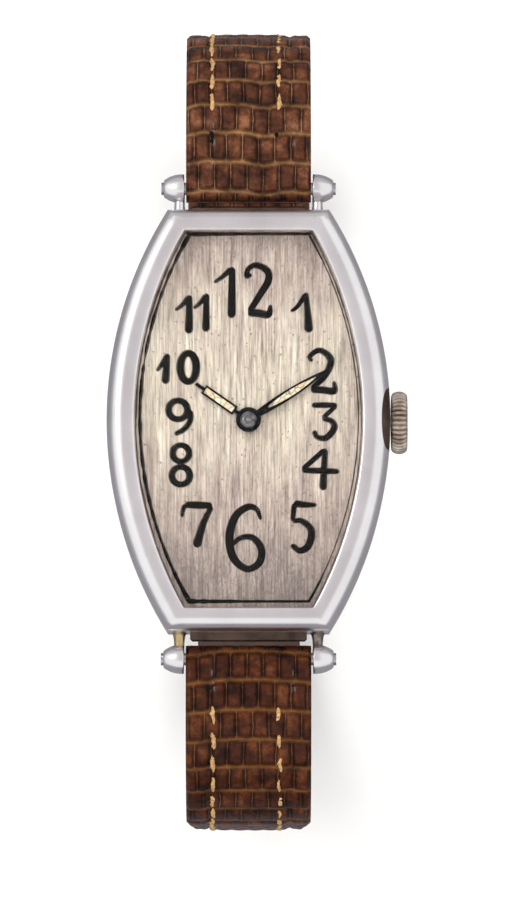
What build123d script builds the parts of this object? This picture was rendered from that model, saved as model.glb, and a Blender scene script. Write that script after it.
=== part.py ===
from build123d import *
import os
from math import cos, radians, sin, sqrt

# A mechanical wristwatch with a barrel-shaped (tonneau) case, lying dial up on
# its open strap. +Z comes out of the dial, +Y points to 12 o'clock and +X to the
# crown at 3 o'clock. The origin is on the hands' axis, at the resting plane.
# All sizes are millimetres.

os.makedirs("parts", exist_ok=True)

# Case and dial outlines: width at the middle, length, width at the straight ends
case_width = 26.2
case_length = 39.0
case_end_width = 14.9
case_size = (case_width, case_length, case_end_width)
bezel_side_width = 2.63
bezel_end_width = 2.1
bezel_corner_width = 1.55
opening_width = case_width - 2 * bezel_side_width
opening_length = case_length - 2 * bezel_end_width
opening_end_width = case_end_width - 2 * bezel_corner_width
opening_size = (opening_width, opening_length, opening_end_width)

# Case heights and walls
back_height = 1.8
band_height = 3.6
bezel_height = 2.2
band_wall = 1.2
back_floor = 0.9
back_round = 0.9
back_rise = 0.7
skirt_wall = 0.6
skirt_height = 0.5
skirt_gap = 0.05
knife_notch_radius = 0.55
bezel_round = 1.45
bezel_shoulder = 1.25
bezel_inner_round = 0.35
dial_recess = 0.4
dial_thickness = 0.35
dial_rim = 0.9
dial_gap = 0.05
ledge_height = 0.6
ledge_width = 2.2
lip_gap = 0.3
lip_height = 0.9
lip_width = 10.8
overrun = 1.0

# Crystal
crystal_gap = 0.04
crystal_flange = 0.45
crystal_flange_height = 0.6
crystal_wall = 0.9
crystal_dome_radius = 42.0
crystal_rise = 2.95

# Lugs: a post on each corner, a bullet-shaped finial on it, a bar through both
bar_gap = 2.4
bar_above_back = 2.4
bar_diameter = 1.15
bar_length = 16.2
post_spread = 12.8
post_diameter = 0.9
finial_gap = 11.96
finial_length = 1.9
finial_radius = 1.36
finial_tip_radius = 0.75
belly_share = 0.9
finial_sides = 18

# Crown and stem
stem_above_back = 3.0
crown_diameter = 5.8
crown_thickness = 1.5
crown_gap = 0.1
crown_round = 0.38
flute_count = 36
flute_depth = 0.2
crown_hub_depth = 0.6
tube_diameter = 1.8
stem_diameter = 0.9
stem_square = 0.6
square_clearance = 0.05
stem_inner_x = 6.6
square_end_x = 8.3

# Strap
strap_gap = 0.18
strap_end_width = 10.0
strap_taper_top = 20.0
strap_taper_bottom = 34.0
lining_thickness = 0.5
strap_thickness = 2.4
strap_edge_drop = 0.55
strap_shoulder = 1.4
root_radius = 1.35
hinge_clearance = 0.05
strap_rise_angle = 20.0
strap_turn_angle = 110.0
arch_radius_12 = 10.9
arch_radius_6 = 10.36
tail_straight = 8.0
tail_bend_radius = 24.0
tail_flat = 14.3
tail_point = 5.5
tail_tip_width = 2.4
tail_curve_share = 0.25
hole_diameter = 1.4
hole_pitch = 6.0
hole_count = 7
first_hole = 13.0
lower_bend_radius = 16.0
keeper_straight = 12.0
heel_bend_radius = 8.0
heel_flat = 1.5
half_turn_angle = 45.0

# Keepers
keeper_width = 3.5
keeper_wall = 0.8
keeper_clearance = 0.15
keeper_start = 0.5
keeper_spacing = 0.3

# Buckle
buckle_bar_diameter = 0.8
buckle_edge = 0.15
buckle_window = 10.3
buckle_arm = 1.25
buckle_thickness = 1.2
buckle_reach = 7.6
buckle_end_bar = 1.6
buckle_heel = 0.9
buckle_corner = 1.9
tongue_width = 1.1
tongue_ring_width = 1.4
tongue_ring_radius = 1.15
tongue_thickness = 0.55
tongue_tip_round = 0.44
tongue_clearance = 0.03
tongue_slot_width = 1.9
tongue_slot_reach = 4.0

# Hands: time shown, and the outlines along each hand
hour_shown = 10
minute_shown = 9.6
hours_per_turn = 12
hand_thickness = 0.15
hour_hand_rise = 0.3
minute_hand_rise = 0.7
minute_hand_length = 9.1
minute_hand_width = 0.9
minute_widest = 5.0
minute_root_width = 0.42
minute_hub_radius = 0.8
minute_window_start = 2.2
minute_window_end = 7.4
minute_window_width = 0.56
window_root_width = 0.15
fill_root_width = 0.08
hour_hand_length = 5.95
hour_body_start = 1.5
hour_body_end = 5.05
hour_body_width = 0.92
hour_window_width = 0.56
hour_frame = 0.2
hour_neck_width = 0.32
hour_hub_radius = 1.1
lume_gap = 0.01
lume_thickness = 0.12

# Motion work under the dial
centre_shaft_radius = 0.25
cannon_pipe_radius = 0.45
cannon_pinion_radius = 0.8
hour_pipe_radius = 0.62
pipe_clearance = 0.03
dial_hole_radius = 0.75
motion_gap = 0.05
motion_thickness = 0.2
hour_wheel_gap = 0.05
hour_wheel_thickness = 0.18
minute_wheel_radius = 2.1
setting_wheel_radius = 1.4
setting_wheel_x = 5.8
minute_post_radius = 0.22

# Plates and bridges
plate_thickness = 0.9
plate_gap = 0.05
bridge_gap = 1.4
bridge_thickness = 0.6
bridge_inset = 2.05
bridge_slit = 0.2
bridge_split_y = 1.1
bridge_step_x = 4.6
bridge_step_y = -3.2
barrel_foot_x = -3.8
barrel_foot_y = 12.4
train_right_x = 6.0
train_bottom_y = -12.0
train_foot_x = -0.6
train_foot_y = -7.6
train_side_foot_x = -7.0
train_side_foot_y = -5.0
cock_thickness = 0.35
cock_foot_y = -13.75
cock_foot_end_y = -16.6
cock_foot_left = -0.2
cock_foot_right = 6.5
cock_nose_radius = 1.2
pallet_cock_thickness = 0.25
pallet_cock_drop = 0.6
pallet_cock_length = 5.2
pallet_cock_width = 1.0
pallet_foot_radius = 0.45
pallet_feet_share = 0.42
keyless_slot_start = 6.7
keyless_slot_end = 9.8
keyless_slot_width = 3.2

# Going train: radii at the pitch circle, drops below the main plate
wheel_thickness = 0.2
mesh_gap = 0.03
tooth_depth = 0.22
pinion_tooth_depth = 0.14
pivot_radius = 0.12
arbor_radius = 0.2
pivot_clearance = 0.03
pivot_depth = 0.5
jewel_radius = 0.5
jewel_thickness = 0.3
barrel_radius = 5.95
barrel_drop = 0.4
barrel_height = 0.9
barrel_wall = 0.5
barrel_floor = 0.15
barrel_angle = 63.8
centre_pinion_radius = 0.85
centre_wheel_radius = 3.6
centre_wheel_drop = 0.1
third_pinion_radius = 0.45
third_wheel_radius = 3.0
third_wheel_drop = 0.57
third_angle = 207.2
fourth_pinion_radius = 0.4
fourth_wheel_radius = 2.8
fourth_wheel_drop = 0.97
fourth_angle = -45.6
escape_pinion_radius = 0.35
escape_wheel_radius = 1.8
escape_wheel_drop = 0.25
escape_angle = -30.6
spoke_width = 0.32
rim_width = 0.55
spring_turns = 3
spring_strip = 0.16
spiral_sides = 14
barrel_hub_radius = 1.4
barrel_shaft_radius = 0.6

# Escapement
escape_to_balance_length = 4.69
balance_angle = -50.2
balance_radius = 3.8
balance_drop = 1.05
balance_thickness = 0.3
balance_rim = 0.45
roller_radius = 0.55
roller_thickness = 0.15
roller_drop = 0.45
pallet_gap = 0.5
fork_horn_gap = 0.65
fork_width = 0.3
fork_head_width = 0.9
fork_notch_width = 0.2
pallet_arm_reach = 1.25
pallet_arm_lean = 0.35
hairspring_drop = 1.45
hairspring_height = 0.12
hairspring_strip = 0.05
hairspring_inner = 0.4
hairspring_turns = 3
hairspring_pitch = 0.42

# Winding work on the outside of the bridges
cap_gap = 0.1
cap_thickness = 0.25
ratchet_radius = 4.3
crown_wheel_radius = 2.62
crown_wheel_x = 6.3
winding_pinion_radius = 1.42
winding_pinion_length = 1.2
sliding_pinion_radius = 1.38
sliding_pinion_length = 1.1
keyless_gap = 0.25
barrel_to_click_length = 5.6
click_angle = 152.0
click_radius = 0.7
click_beak = 0.45

# Teeth of the wheels, and the sides of small round forms
pin_sides = 10
drum_sides = 30
barrel_teeth = 36
centre_teeth = 32
third_teeth = 28
fourth_teeth = 28
escape_teeth = 15
cannon_teeth = 10
hour_teeth = 28
minute_teeth = 26
setting_teeth = 18
ratchet_teeth = 32
crown_wheel_teeth = 24
winding_teeth = 14
pinion_leaves = 8
wheel_spokes = 4

# Screws
screw_head_radius = 0.75
screw_head_height = 0.28
screw_slot = 0.2
screw_slot_depth = 0.14
screw_shank_radius = 0.35
dial_foot_radius = 0.3
dial_foot_depth = 1.1
dial_foot_x = 6.2
dial_foot_y = 11.5

# Lengths worked out from the sizes above
half_strap = strap_thickness / 2
bar_reach = case_length / 2 + bar_gap
lip_reach = bar_gap - root_radius - lip_gap
strap_width = finial_gap - 2 * strap_gap
bar_z = (half_strap + tail_bend_radius + tail_straight
         + arch_radius_6 * cos(radians(strap_rise_angle)))
back_z = bar_z - bar_above_back
band_z = back_z + back_height
bezel_z = band_z + band_height
dial_z = bezel_z - dial_recess
dial_top_z = dial_z + dial_thickness
plate_top_z = dial_z - ledge_height
plate_z = plate_top_z - plate_thickness
bridge_top_z = plate_z - bridge_gap
bridge_z = bridge_top_z - bridge_thickness
stem_z = back_z + stem_above_back
cap_top_z = bridge_z - cap_gap
hour_hand_z = dial_top_z + hour_hand_rise
minute_hand_z = dial_top_z + minute_hand_rise


def polar(distance, angle, start=(0, 0)):
    """The point at this distance and angle from the start."""
    turn = radians(angle)
    return (start[0] + distance * cos(turn), start[1] + distance * sin(turn))


# Wheel centres, each one reached from the wheel that drives it
barrel_at = polar(barrel_radius + centre_pinion_radius, barrel_angle)
third_at = polar(centre_wheel_radius + third_pinion_radius, third_angle)
fourth_at = polar(third_wheel_radius + fourth_pinion_radius, fourth_angle, third_at)
escape_at = polar(fourth_wheel_radius + escape_pinion_radius, escape_angle, fourth_at)
balance_at = polar(escape_to_balance_length, balance_angle, escape_at)
pallet_at = polar(escape_wheel_radius + pallet_gap, balance_angle, escape_at)
click_at = polar(barrel_to_click_length, click_angle, barrel_at)
minute_reach = cannon_pinion_radius + minute_wheel_radius
setting_reach = minute_wheel_radius + setting_wheel_radius
minute_wheel_x = ((setting_wheel_x ** 2 + minute_reach ** 2 - setting_reach ** 2)
                  / (2 * setting_wheel_x))
minute_wheel_y = -sqrt(minute_reach ** 2 - minute_wheel_x ** 2)
minute_wheel_at = (minute_wheel_x, minute_wheel_y)
cannon_turns = minute_wheel_radius / cannon_pinion_radius
hour_turns = hours_per_turn / cannon_turns
minute_pinion_radius = minute_reach / (1 + hour_turns)
hour_wheel_radius = minute_reach - minute_pinion_radius


def save(piece, label):
    """Label a finished piece and write its STEP file."""
    piece.part.label = label
    export_step(piece.part, f"parts/{label}.step")


def tonneau(size, inset=0):
    """A barrel outline: two side arcs and two straight ends, drawn in by an inset."""
    width, length, end_width = size
    bulge = (width - end_width) / 2
    radius = (length ** 2 / 4 + bulge ** 2) / (2 * bulge)
    centre_x = width / 2 - radius
    end_y = length / 2 - inset
    end_x = centre_x + sqrt((radius - inset) ** 2 - end_y ** 2)
    side_x = width / 2 - inset
    with BuildSketch() as outline:
        with BuildLine():
            ThreePointArc((end_x, -end_y), (side_x, 0), (end_x, end_y))
            Line((end_x, end_y), (-end_x, end_y))
            ThreePointArc((-end_x, end_y), (-side_x, 0), (-end_x, -end_y))
            Line((-end_x, -end_y), (end_x, -end_y))
        make_face()
    return outline.sketch


def disc(radius, hole=0):
    """A round outline with an optional round hole."""
    with BuildSketch() as outline:
        Circle(radius)
        if hole:
            Circle(hole, mode=Mode.SUBTRACT)
    return outline.sketch


def pin(radius, mode=Mode.ADD):
    """A small round form with a few flat sides, its corners on the radius."""
    RegularPolygon(radius, pin_sides, mode=mode)


def bore(radius):
    """A small hole with a few flat sides that a round shaft of the radius turns in."""
    RegularPolygon(radius, pin_sides, major_radius=False, mode=Mode.SUBTRACT)


def drum(radius, hole):
    """The outline of a drum with many flat sides, inside and out."""
    with BuildSketch() as outline:
        RegularPolygon(radius, drum_sides)
        RegularPolygon(hole, drum_sides, mode=Mode.SUBTRACT)
    return outline.sketch


def rod(radius):
    """The outline of a small round rod, with a few flat sides."""
    with BuildSketch() as outline:
        pin(radius)
    return outline.sketch


def zigzag(radius, teeth, depth):
    """A toothed outline whose tips lie on the radius."""
    points = []
    for tooth in range(teeth):
        points.append(polar(radius, 360 * tooth / teeth))
        points.append(polar(radius - depth, 360 * (tooth + 1 / 2) / teeth))
    with BuildSketch() as outline:
        with BuildLine():
            Polyline(*points, close=True)
        make_face()
    return outline.sketch


def toothed(radius, teeth, hole=0, spokes=0, depth=tooth_depth):
    """A wheel: teeth inside the pitch circle, a rim, a hub and its spokes."""
    tip = radius - mesh_gap
    inner = tip - depth - rim_width
    with BuildSketch() as outline:
        add(zigzag(tip, teeth, depth))
        if spokes:
            RegularPolygon(inner, drum_sides, mode=Mode.SUBTRACT)
            pin(hole + rim_width)
            with PolarLocations(0, spokes):
                with Locations((inner / 2, 0)):
                    Rectangle(inner + depth, spoke_width)
        if hole:
            Circle(hole, mode=Mode.SUBTRACT)
    return outline.sketch


def stacked(label, centre, steps):
    """Discs and shafts on one upright axis: each step has an outline and two heights."""
    with BuildPart() as piece:
        for outline, bottom, top in steps:
            with BuildSketch(Plane.XY.offset(bottom)):
                with Locations(centre):
                    add(outline)
            extrude(amount=top - bottom)
    save(piece, label)


# Case back: a shallow press-on shell with a skirt that springs into the band
with BuildPart() as case_back:
    with BuildSketch(Plane.XY.offset(back_z)):
        add(tonneau(case_size))
    extrude(amount=back_height)
    chamfer(case_back.edges().group_by(Axis.Z)[0], length=back_round, length2=back_rise)
    with BuildSketch(Plane.XY.offset(band_z)):
        add(tonneau(case_size, band_wall + skirt_gap))
    extrude(amount=skirt_height)
    with BuildSketch(Plane.XY.offset(back_z + back_floor)):
        add(tonneau(case_size, band_wall + skirt_gap + skirt_wall))
    extrude(amount=back_height + skirt_height, mode=Mode.SUBTRACT)
    notch_y = -case_length / 2
    with BuildSketch(Plane.XY.offset(band_z)):
        with Locations((case_end_width / 2 - knife_notch_radius, notch_y)):
            Circle(knife_notch_radius)
    extrude(amount=-knife_notch_radius, mode=Mode.SUBTRACT)
save(case_back, "case_back")

# Case band: the middle of the case, with the ledge that the dial lies on
with BuildPart() as case_band:
    with BuildSketch(Plane.XY.offset(band_z)):
        add(tonneau(case_size))
    extrude(amount=band_height)
    for end in (1, -1):
        lip_y = end * (case_length / 2 + lip_reach / 2)
        with BuildSketch(Plane.XY.offset(band_z)):
            with Locations((0, lip_y)):
                Rectangle(lip_width, lip_reach)
        extrude(amount=lip_height)
    with BuildSketch(Plane.XY.offset(band_z)):
        add(tonneau(case_size, band_wall))
    extrude(amount=plate_top_z - band_z, mode=Mode.SUBTRACT)
    with BuildSketch(Plane.XY.offset(plate_top_z)):
        add(tonneau(case_size, ledge_width))
    extrude(amount=ledge_height, mode=Mode.SUBTRACT)
    with BuildSketch(Plane.XY.offset(dial_z)):
        add(tonneau(opening_size, -dial_rim - dial_gap))
    extrude(amount=dial_recess + overrun, mode=Mode.SUBTRACT)
    with BuildSketch(Plane.YZ):
        with Locations((0, stem_z)):
            Circle(tube_diameter / 2)
    extrude(amount=case_width, mode=Mode.SUBTRACT)
save(case_band, "case_band")

# Bezel: a domed frame with mitred corners and a rebate for the crystal's flange.
# The dome is a quarter ellipse drawn in flat facets, so its corners stay crisp.
dome_angles = [0, 45, 90]
with BuildPart() as bezel:
    with BuildSketch(Plane.XY.offset(bezel_z)):
        add(tonneau(case_size))
    extrude(amount=bezel_height - bezel_round)
    for angle in dome_angles:
        turn = radians(angle)
        height = bezel_height - bezel_round * (1 - sin(turn))
        with BuildSketch(Plane.XY.offset(bezel_z + height)):
            add(tonneau(case_size, bezel_shoulder * (1 - cos(turn))))
    loft(ruled=True)
    with BuildSketch(Plane.XY.offset(bezel_z)):
        add(tonneau(opening_size))
    extrude(amount=bezel_height + overrun, mode=Mode.SUBTRACT)
    chamfer(bezel.edges().group_by(Axis.Z)[-1], length=bezel_inner_round)
    with BuildSketch(Plane.XY.offset(bezel_z)):
        add(tonneau(opening_size, -crystal_flange - crystal_gap))
    extrude(amount=crystal_flange_height + crystal_gap, mode=Mode.SUBTRACT)
save(bezel, "bezel")

# Crystal: a domed pane, hollow underneath, held under the bezel by its flange
crystal_top_z = bezel_z + crystal_rise
with BuildPart() as crystal:
    with BuildSketch(Plane.XY.offset(bezel_z)):
        add(tonneau(opening_size, crystal_gap))
    extrude(amount=crystal_rise + overrun)
    with BuildSketch(Plane.XZ):
        with Locations((0, crystal_top_z - crystal_dome_radius)):
            Circle(crystal_dome_radius)
    extrude(amount=case_length, both=True, mode=Mode.INTERSECT)
    with BuildSketch(Plane.XY.offset(bezel_z)):
        add(tonneau(opening_size, -crystal_flange))
    extrude(amount=crystal_flange_height)
    with BuildPart(mode=Mode.SUBTRACT):
        with BuildSketch(Plane.XY.offset(bezel_z - overrun)):
            add(tonneau(opening_size, crystal_wall))
        extrude(amount=crystal_rise + overrun)
        with BuildSketch(Plane.XZ):
            with Locations((0, crystal_top_z - crystal_dome_radius)):
                Circle(crystal_dome_radius - crystal_wall)
        extrude(amount=case_length, both=True, mode=Mode.INTERSECT)
save(crystal, "crystal")

# Dial: a flat plate with the hole for the hands and two feet into the main plate
dial_feet = [(-dial_foot_x, dial_foot_y), (dial_foot_x, -dial_foot_y)]
with BuildPart() as dial:
    with BuildSketch(Plane.XY.offset(dial_z)):
        add(tonneau(opening_size, -dial_rim))
        bore(dial_hole_radius)
    extrude(amount=dial_thickness)
    with BuildSketch(Plane.XY.offset(dial_z)):
        with Locations(*dial_feet):
            pin(dial_foot_radius)
    extrude(amount=-dial_foot_depth)
save(dial, "dial")


def hand_plane(angle, height):
    """A level plane whose Y axis points along a hand at this clock angle."""
    turn = radians(angle)
    return Plane(origin=(0, 0, height), x_dir=(cos(turn), -sin(turn), 0), z_dir=(0, 0, 1))


minute_angle = 360 * minute_shown / 60
hour_angle = 360 * (hour_shown + minute_shown / 60) / hours_per_turn
pipe_top_z = minute_hand_z + hand_thickness
hour_collar_z = hour_hand_z + hand_thickness


def leaf(width, start, widest, end, start_width):
    """A leaf: two arcs from a blunt root through the widest place to a point."""
    with BuildSketch() as outline:
        with BuildLine():
            ThreePointArc((start_width / 2, start), (width / 2, widest), (0, end))
            ThreePointArc((0, end), (-width / 2, widest), (-start_width / 2, start))
            Line((-start_width / 2, start), (start_width / 2, start))
        make_face()
    return outline.sketch


window_middle = (minute_window_start + minute_window_end) / 2
minute_window = leaf(minute_window_width, minute_window_start, window_middle,
                     minute_window_end, window_root_width)
minute_fill = leaf(minute_window_width - 2 * lume_gap, minute_window_start + lume_gap,
                   window_middle, minute_window_end - 2 * lume_gap, fill_root_width)

# Minute hand: a skeleton leaf on a hub, pressed on the cannon pinion
with BuildPart() as minute_hand:
    with BuildSketch(hand_plane(minute_angle, minute_hand_z)):
        add(leaf(minute_hand_width, 0, minute_widest, minute_hand_length, minute_root_width))
        add(minute_window, mode=Mode.SUBTRACT)
        Circle(minute_hub_radius)
        Circle(cannon_pipe_radius, mode=Mode.SUBTRACT)
    extrude(amount=hand_thickness)
save(minute_hand, "minute_hand")

with BuildPart() as minute_hand_lume:
    with BuildSketch(hand_plane(minute_angle, minute_hand_z)):
        add(minute_fill)
    extrude(amount=lume_thickness)
save(minute_hand_lume, "minute_hand_lume")

hour_body_length = hour_body_end - hour_body_start
hour_body_middle = (hour_body_end + hour_body_start) / 2
hour_window_length = hour_body_length - 2 * hour_frame

# Hour hand: a skeleton oblong with a thin point, pressed on the hour wheel's pipe
with BuildPart() as hour_hand:
    with BuildSketch(hand_plane(hour_angle, hour_hand_z)):
        with Locations((0, hour_hand_length / 2)):
            Rectangle(hour_neck_width, hour_hand_length)
        with Locations((0, hour_body_middle)):
            Rectangle(hour_body_width, hour_body_length)
            Rectangle(hour_window_width, hour_window_length, mode=Mode.SUBTRACT)
        Circle(hour_hub_radius)
        Circle(hour_pipe_radius, mode=Mode.SUBTRACT)
    extrude(amount=hand_thickness)
save(hour_hand, "hour_hand")

with BuildPart() as hour_hand_lume:
    with BuildSketch(hand_plane(hour_angle, hour_hand_z)):
        with Locations((0, hour_body_middle)):
            Rectangle(hour_window_width - 2 * lume_gap, hour_window_length - 2 * lume_gap)
    extrude(amount=lume_thickness)
save(hour_hand_lume, "hour_hand_lume")

# Lugs: a straight post and a bullet-shaped finial bored for the strap bar
finial_inner_x = finial_gap / 2
finial_outer_x = finial_inner_x + finial_length
finial_belly_x = (finial_inner_x + finial_outer_x) / 2
finial_steps = [(finial_inner_x, finial_radius), (finial_belly_x, finial_radius * belly_share),
                (finial_outer_x, finial_tip_radius)]
for name, side_y in (("12", 1), ("6", -1)):
    bar_y = side_y * bar_reach
    for side, side_x in (("right", 1), ("left", -1)):
        with BuildPart() as lug:
            for x, radius in finial_steps:
                with BuildSketch(Plane.YZ.offset(side_x * x)):
                    with Locations((bar_y, bar_z)):
                        RegularPolygon(radius, finial_sides)
            loft(ruled=True)
            with BuildSketch(Plane.XZ.offset(-side_y * case_length / 2)):
                with Locations((side_x * post_spread / 2, bar_z)):
                    pin(post_diameter / 2)
            extrude(amount=side_y * (case_length / 2 - bar_reach))
            with BuildSketch(Plane.YZ):
                with Locations((bar_y, bar_z)):
                    RegularPolygon(bar_diameter / 2, pin_sides, major_radius=False)
            extrude(amount=bar_length, both=True, mode=Mode.SUBTRACT)
        save(lug, f"lug_{name}_{side}")
    with BuildPart() as strap_bar:
        with BuildSketch(Plane.YZ):
            with Locations((bar_y, bar_z)):
                Circle(bar_diameter / 2)
        extrude(amount=bar_length / 2, both=True)
    save(strap_bar, f"strap_bar_{name}")

# Crown: a fluted nickel button with rounded rims, screwed on the stem
crown_inner_x = case_width / 2 + crown_gap
crown_steps = [(0, crown_round), (crown_round, 0), (crown_thickness - crown_round, 0),
               (crown_thickness, crown_round)]
with BuildPart() as crown:
    for reach, drop in crown_steps:
        with BuildSketch(Plane.YZ.offset(crown_inner_x + reach)):
            with Locations((0, stem_z)):
                add(zigzag(crown_diameter / 2 - drop, flute_count, flute_depth))
    loft(ruled=True)
    with BuildSketch(Plane.YZ.offset(crown_inner_x)):
        with Locations((0, stem_z)):
            Circle(stem_diameter / 2)
    extrude(amount=crown_hub_depth, mode=Mode.SUBTRACT)
save(crown, "crown")

# Stem: round outside, square where the clutch slides on it
with BuildPart() as winding_stem:
    with BuildSketch(Plane.YZ.offset(square_end_x)):
        with Locations((0, stem_z)):
            Circle(stem_diameter / 2)
    extrude(amount=crown_inner_x + crown_hub_depth - square_end_x)
    with BuildSketch(Plane.YZ.offset(stem_inner_x)):
        with Locations((0, stem_z)):
            Rectangle(stem_square, stem_square)
    extrude(amount=square_end_x - stem_inner_x)
save(winding_stem, "winding_stem")

# Tube in the band that the stem runs through
wall_x = case_width / 2 - band_wall
with BuildPart() as stem_tube:
    with BuildSketch(Plane.YZ.offset(wall_x)):
        with Locations((0, stem_z)):
            Circle(tube_diameter / 2)
            Circle(stem_diameter / 2 + square_clearance, mode=Mode.SUBTRACT)
    extrude(amount=case_width / 2 - wall_x)
save(stem_tube, "stem_tube")


def curved_path(start, heading, legs):
    """Straights and tangent arcs in the YZ plane, each leg (length or radius, turn)."""
    y, z = start
    with BuildLine() as path:
        for size, turn in legs:
            if turn == 0:
                end = polar(size, heading, (y, z))
                Line((0, y, z), (0, end[0], end[1]))
            else:
                side = 90 if turn > 0 else -90
                centre = polar(size, heading + side, (y, z))
                middle = polar(size, heading + turn / 2 - side, centre)
                end = polar(size, heading + turn - side, centre)
                ThreePointArc((0, y, z), (0, middle[0], middle[1]), (0, end[0], end[1]))
                heading = heading + turn
            y, z = end
    return path.wires()[0]


def padded_section():
    """The leather's section: a flat outer face with a sloping shoulder at each edge."""
    side = strap_width / 2
    shoulder_x = side - strap_shoulder
    edge_height = half_strap - strap_edge_drop
    with BuildSketch() as section:
        with BuildLine():
            Polyline((-side, edge_height), (-side, leather_low), (side, leather_low),
                     (side, edge_height), (shoulder_x, half_strap),
                     (-shoulder_x, half_strap), close=True)
        make_face()
    return section.sketch


def lining_section():
    """The lining's section: a thin flat strip against the wrist."""
    with BuildSketch() as section:
        with Locations((0, leather_low - lining_thickness / 2)):
            Rectangle(strap_width, lining_thickness)
    return section.sketch


def station(path, distance, side_y):
    """The plane across the strap at this distance along its path, with Y outwards."""
    where = path.position_at(distance, position_mode=PositionMode.LENGTH)
    along = path.tangent_at(distance, position_mode=PositionMode.LENGTH)
    return Plane(origin=where, x_dir=(-side_y, 0, 0), z_dir=along)


# Strap paths: a high arch over each bar, then round and flat along the table
leather_low = lining_thickness - half_strap
path_6 = curved_path((-bar_reach, bar_z), 180 - strap_rise_angle,
                     [(arch_radius_6, strap_turn_angle), (tail_straight, 0),
                      (tail_bend_radius, 90), (tail_flat, 0)])
half_turn = radians(half_turn_angle)
lower_straight = (bar_z - half_strap - arch_radius_12 * cos(radians(strap_rise_angle))
                  - lower_bend_radius * sin(half_turn) - keeper_straight * sin(half_turn)
                  - heel_bend_radius * (1 - cos(half_turn)))
path_12 = curved_path((bar_reach, bar_z), strap_rise_angle,
                      [(arch_radius_12, -strap_turn_angle), (lower_straight, 0),
                       (lower_bend_radius, -half_turn_angle), (keeper_straight, 0),
                       (heel_bend_radius, -half_turn_angle), (heel_flat, 0)])
buckle_y = path_12.position_at(1).Y
buckle_z = half_strap
tail_tip_y = path_6.position_at(1).Y
taper_depth = bar_reach + case_length


def tapered_outline():
    """The strap's outline seen along Y: full at the lugs, narrow towards the buckle."""
    with BuildSketch(Plane.XZ) as outline:
        with BuildLine():
            Polyline((-strap_end_width / 2, -overrun), (strap_end_width / 2, -overrun),
                     (strap_end_width / 2, strap_taper_top),
                     (strap_width / 2, strap_taper_bottom),
                     (strap_width / 2, bar_z + bar_reach),
                     (-strap_width / 2, bar_z + bar_reach),
                     (-strap_width / 2, strap_taper_bottom),
                     (-strap_end_width / 2, strap_taper_top), close=True)
        make_face()
    return outline.sketch


def tail_outline():
    """The 6 o'clock half seen from above, with its pointed tip."""
    shoulder_y = tail_tip_y - tail_point
    with BuildSketch() as outline:
        with BuildLine():
            Polyline((strap_end_width / 2, shoulder_y), (strap_width, shoulder_y - overrun),
                     (strap_width, -taper_depth), (-strap_width, -taper_depth),
                     (-strap_width, shoulder_y - overrun), (-strap_end_width / 2, shoulder_y))
            ThreePointArc((-strap_end_width / 2, shoulder_y),
                          (-tail_tip_width, tail_tip_y - tail_point * tail_curve_share),
                          (0, tail_tip_y))
            ThreePointArc((0, tail_tip_y),
                          (tail_tip_width, tail_tip_y - tail_point * tail_curve_share),
                          (strap_end_width / 2, shoulder_y))
        make_face()
    return outline.sketch


layers = {"leather": padded_section(), "lining": lining_section()}

# Strap halves: padded leather over a thin lining, each on its own bar
for kind, section in layers.items():
    with BuildPart() as strap_6:
        with BuildSketch(station(path_6, 0, -1)):
            add(section)
        sweep(path=path_6)
        if kind == "leather":
            with BuildSketch(Plane.YZ):
                with Locations((-bar_reach, bar_z)):
                    Circle(root_radius)
            extrude(amount=strap_width / 2, both=True)
        else:
            with BuildSketch(Plane.YZ):
                with Locations((-bar_reach, bar_z)):
                    Circle(root_radius)
            extrude(amount=strap_width, both=True, mode=Mode.SUBTRACT)
        with BuildSketch(Plane.XZ):
            add(tapered_outline())
        extrude(amount=taper_depth, both=True, mode=Mode.INTERSECT)
        with BuildSketch():
            add(tail_outline())
        extrude(amount=bar_z + bar_reach, both=True, mode=Mode.INTERSECT)
        for hole in range(hole_count):
            distance = path_6.length - first_hole - hole * hole_pitch
            across = station(path_6, distance, -1)
            hole_plane = Plane(origin=across.origin, x_dir=across.x_dir, z_dir=across.y_dir)
            with BuildSketch(hole_plane):
                pin(hole_diameter / 2)
            extrude(amount=strap_thickness, both=True, mode=Mode.SUBTRACT)
        with BuildSketch(Plane.YZ):
            with Locations((-bar_reach, bar_z)):
                Circle(bar_diameter / 2 + hinge_clearance)
        extrude(amount=strap_width, both=True, mode=Mode.SUBTRACT)
    save(strap_6, f"strap_6_{kind}")

    with BuildPart() as strap_12:
        with BuildSketch(station(path_12, 0, 1)):
            add(section)
        sweep(path=path_12)
        loops = [(bar_reach, bar_z, root_radius, strap_width),
                 (buckle_y, buckle_z, half_strap, strap_end_width)]
        for y, z, radius, width in loops:
            with BuildSketch(Plane.YZ):
                with Locations((y, z)):
                    Circle(radius)
            if kind == "leather":
                extrude(amount=width / 2, both=True)
            else:
                extrude(amount=strap_width, both=True, mode=Mode.SUBTRACT)
        with BuildSketch(Plane.XZ):
            add(tapered_outline())
        extrude(amount=taper_depth, both=True, mode=Mode.INTERSECT)
        for y, z, radius in ((bar_reach, bar_z, bar_diameter / 2),
                             (buckle_y, buckle_z, buckle_bar_diameter / 2)):
            with BuildSketch(Plane.YZ):
                with Locations((y, z)):
                    Circle(radius + hinge_clearance)
            extrude(amount=strap_width, both=True, mode=Mode.SUBTRACT)
        slot_start = buckle_y - strap_thickness
        slot_end = buckle_y + tongue_slot_reach
        with BuildSketch():
            with Locations((0, (slot_start + slot_end) / 2)):
                Rectangle(tongue_slot_width, slot_end - slot_start)
        extrude(amount=2 * strap_thickness, mode=Mode.SUBTRACT)
    save(strap_12, f"strap_12_{kind}")

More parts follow.
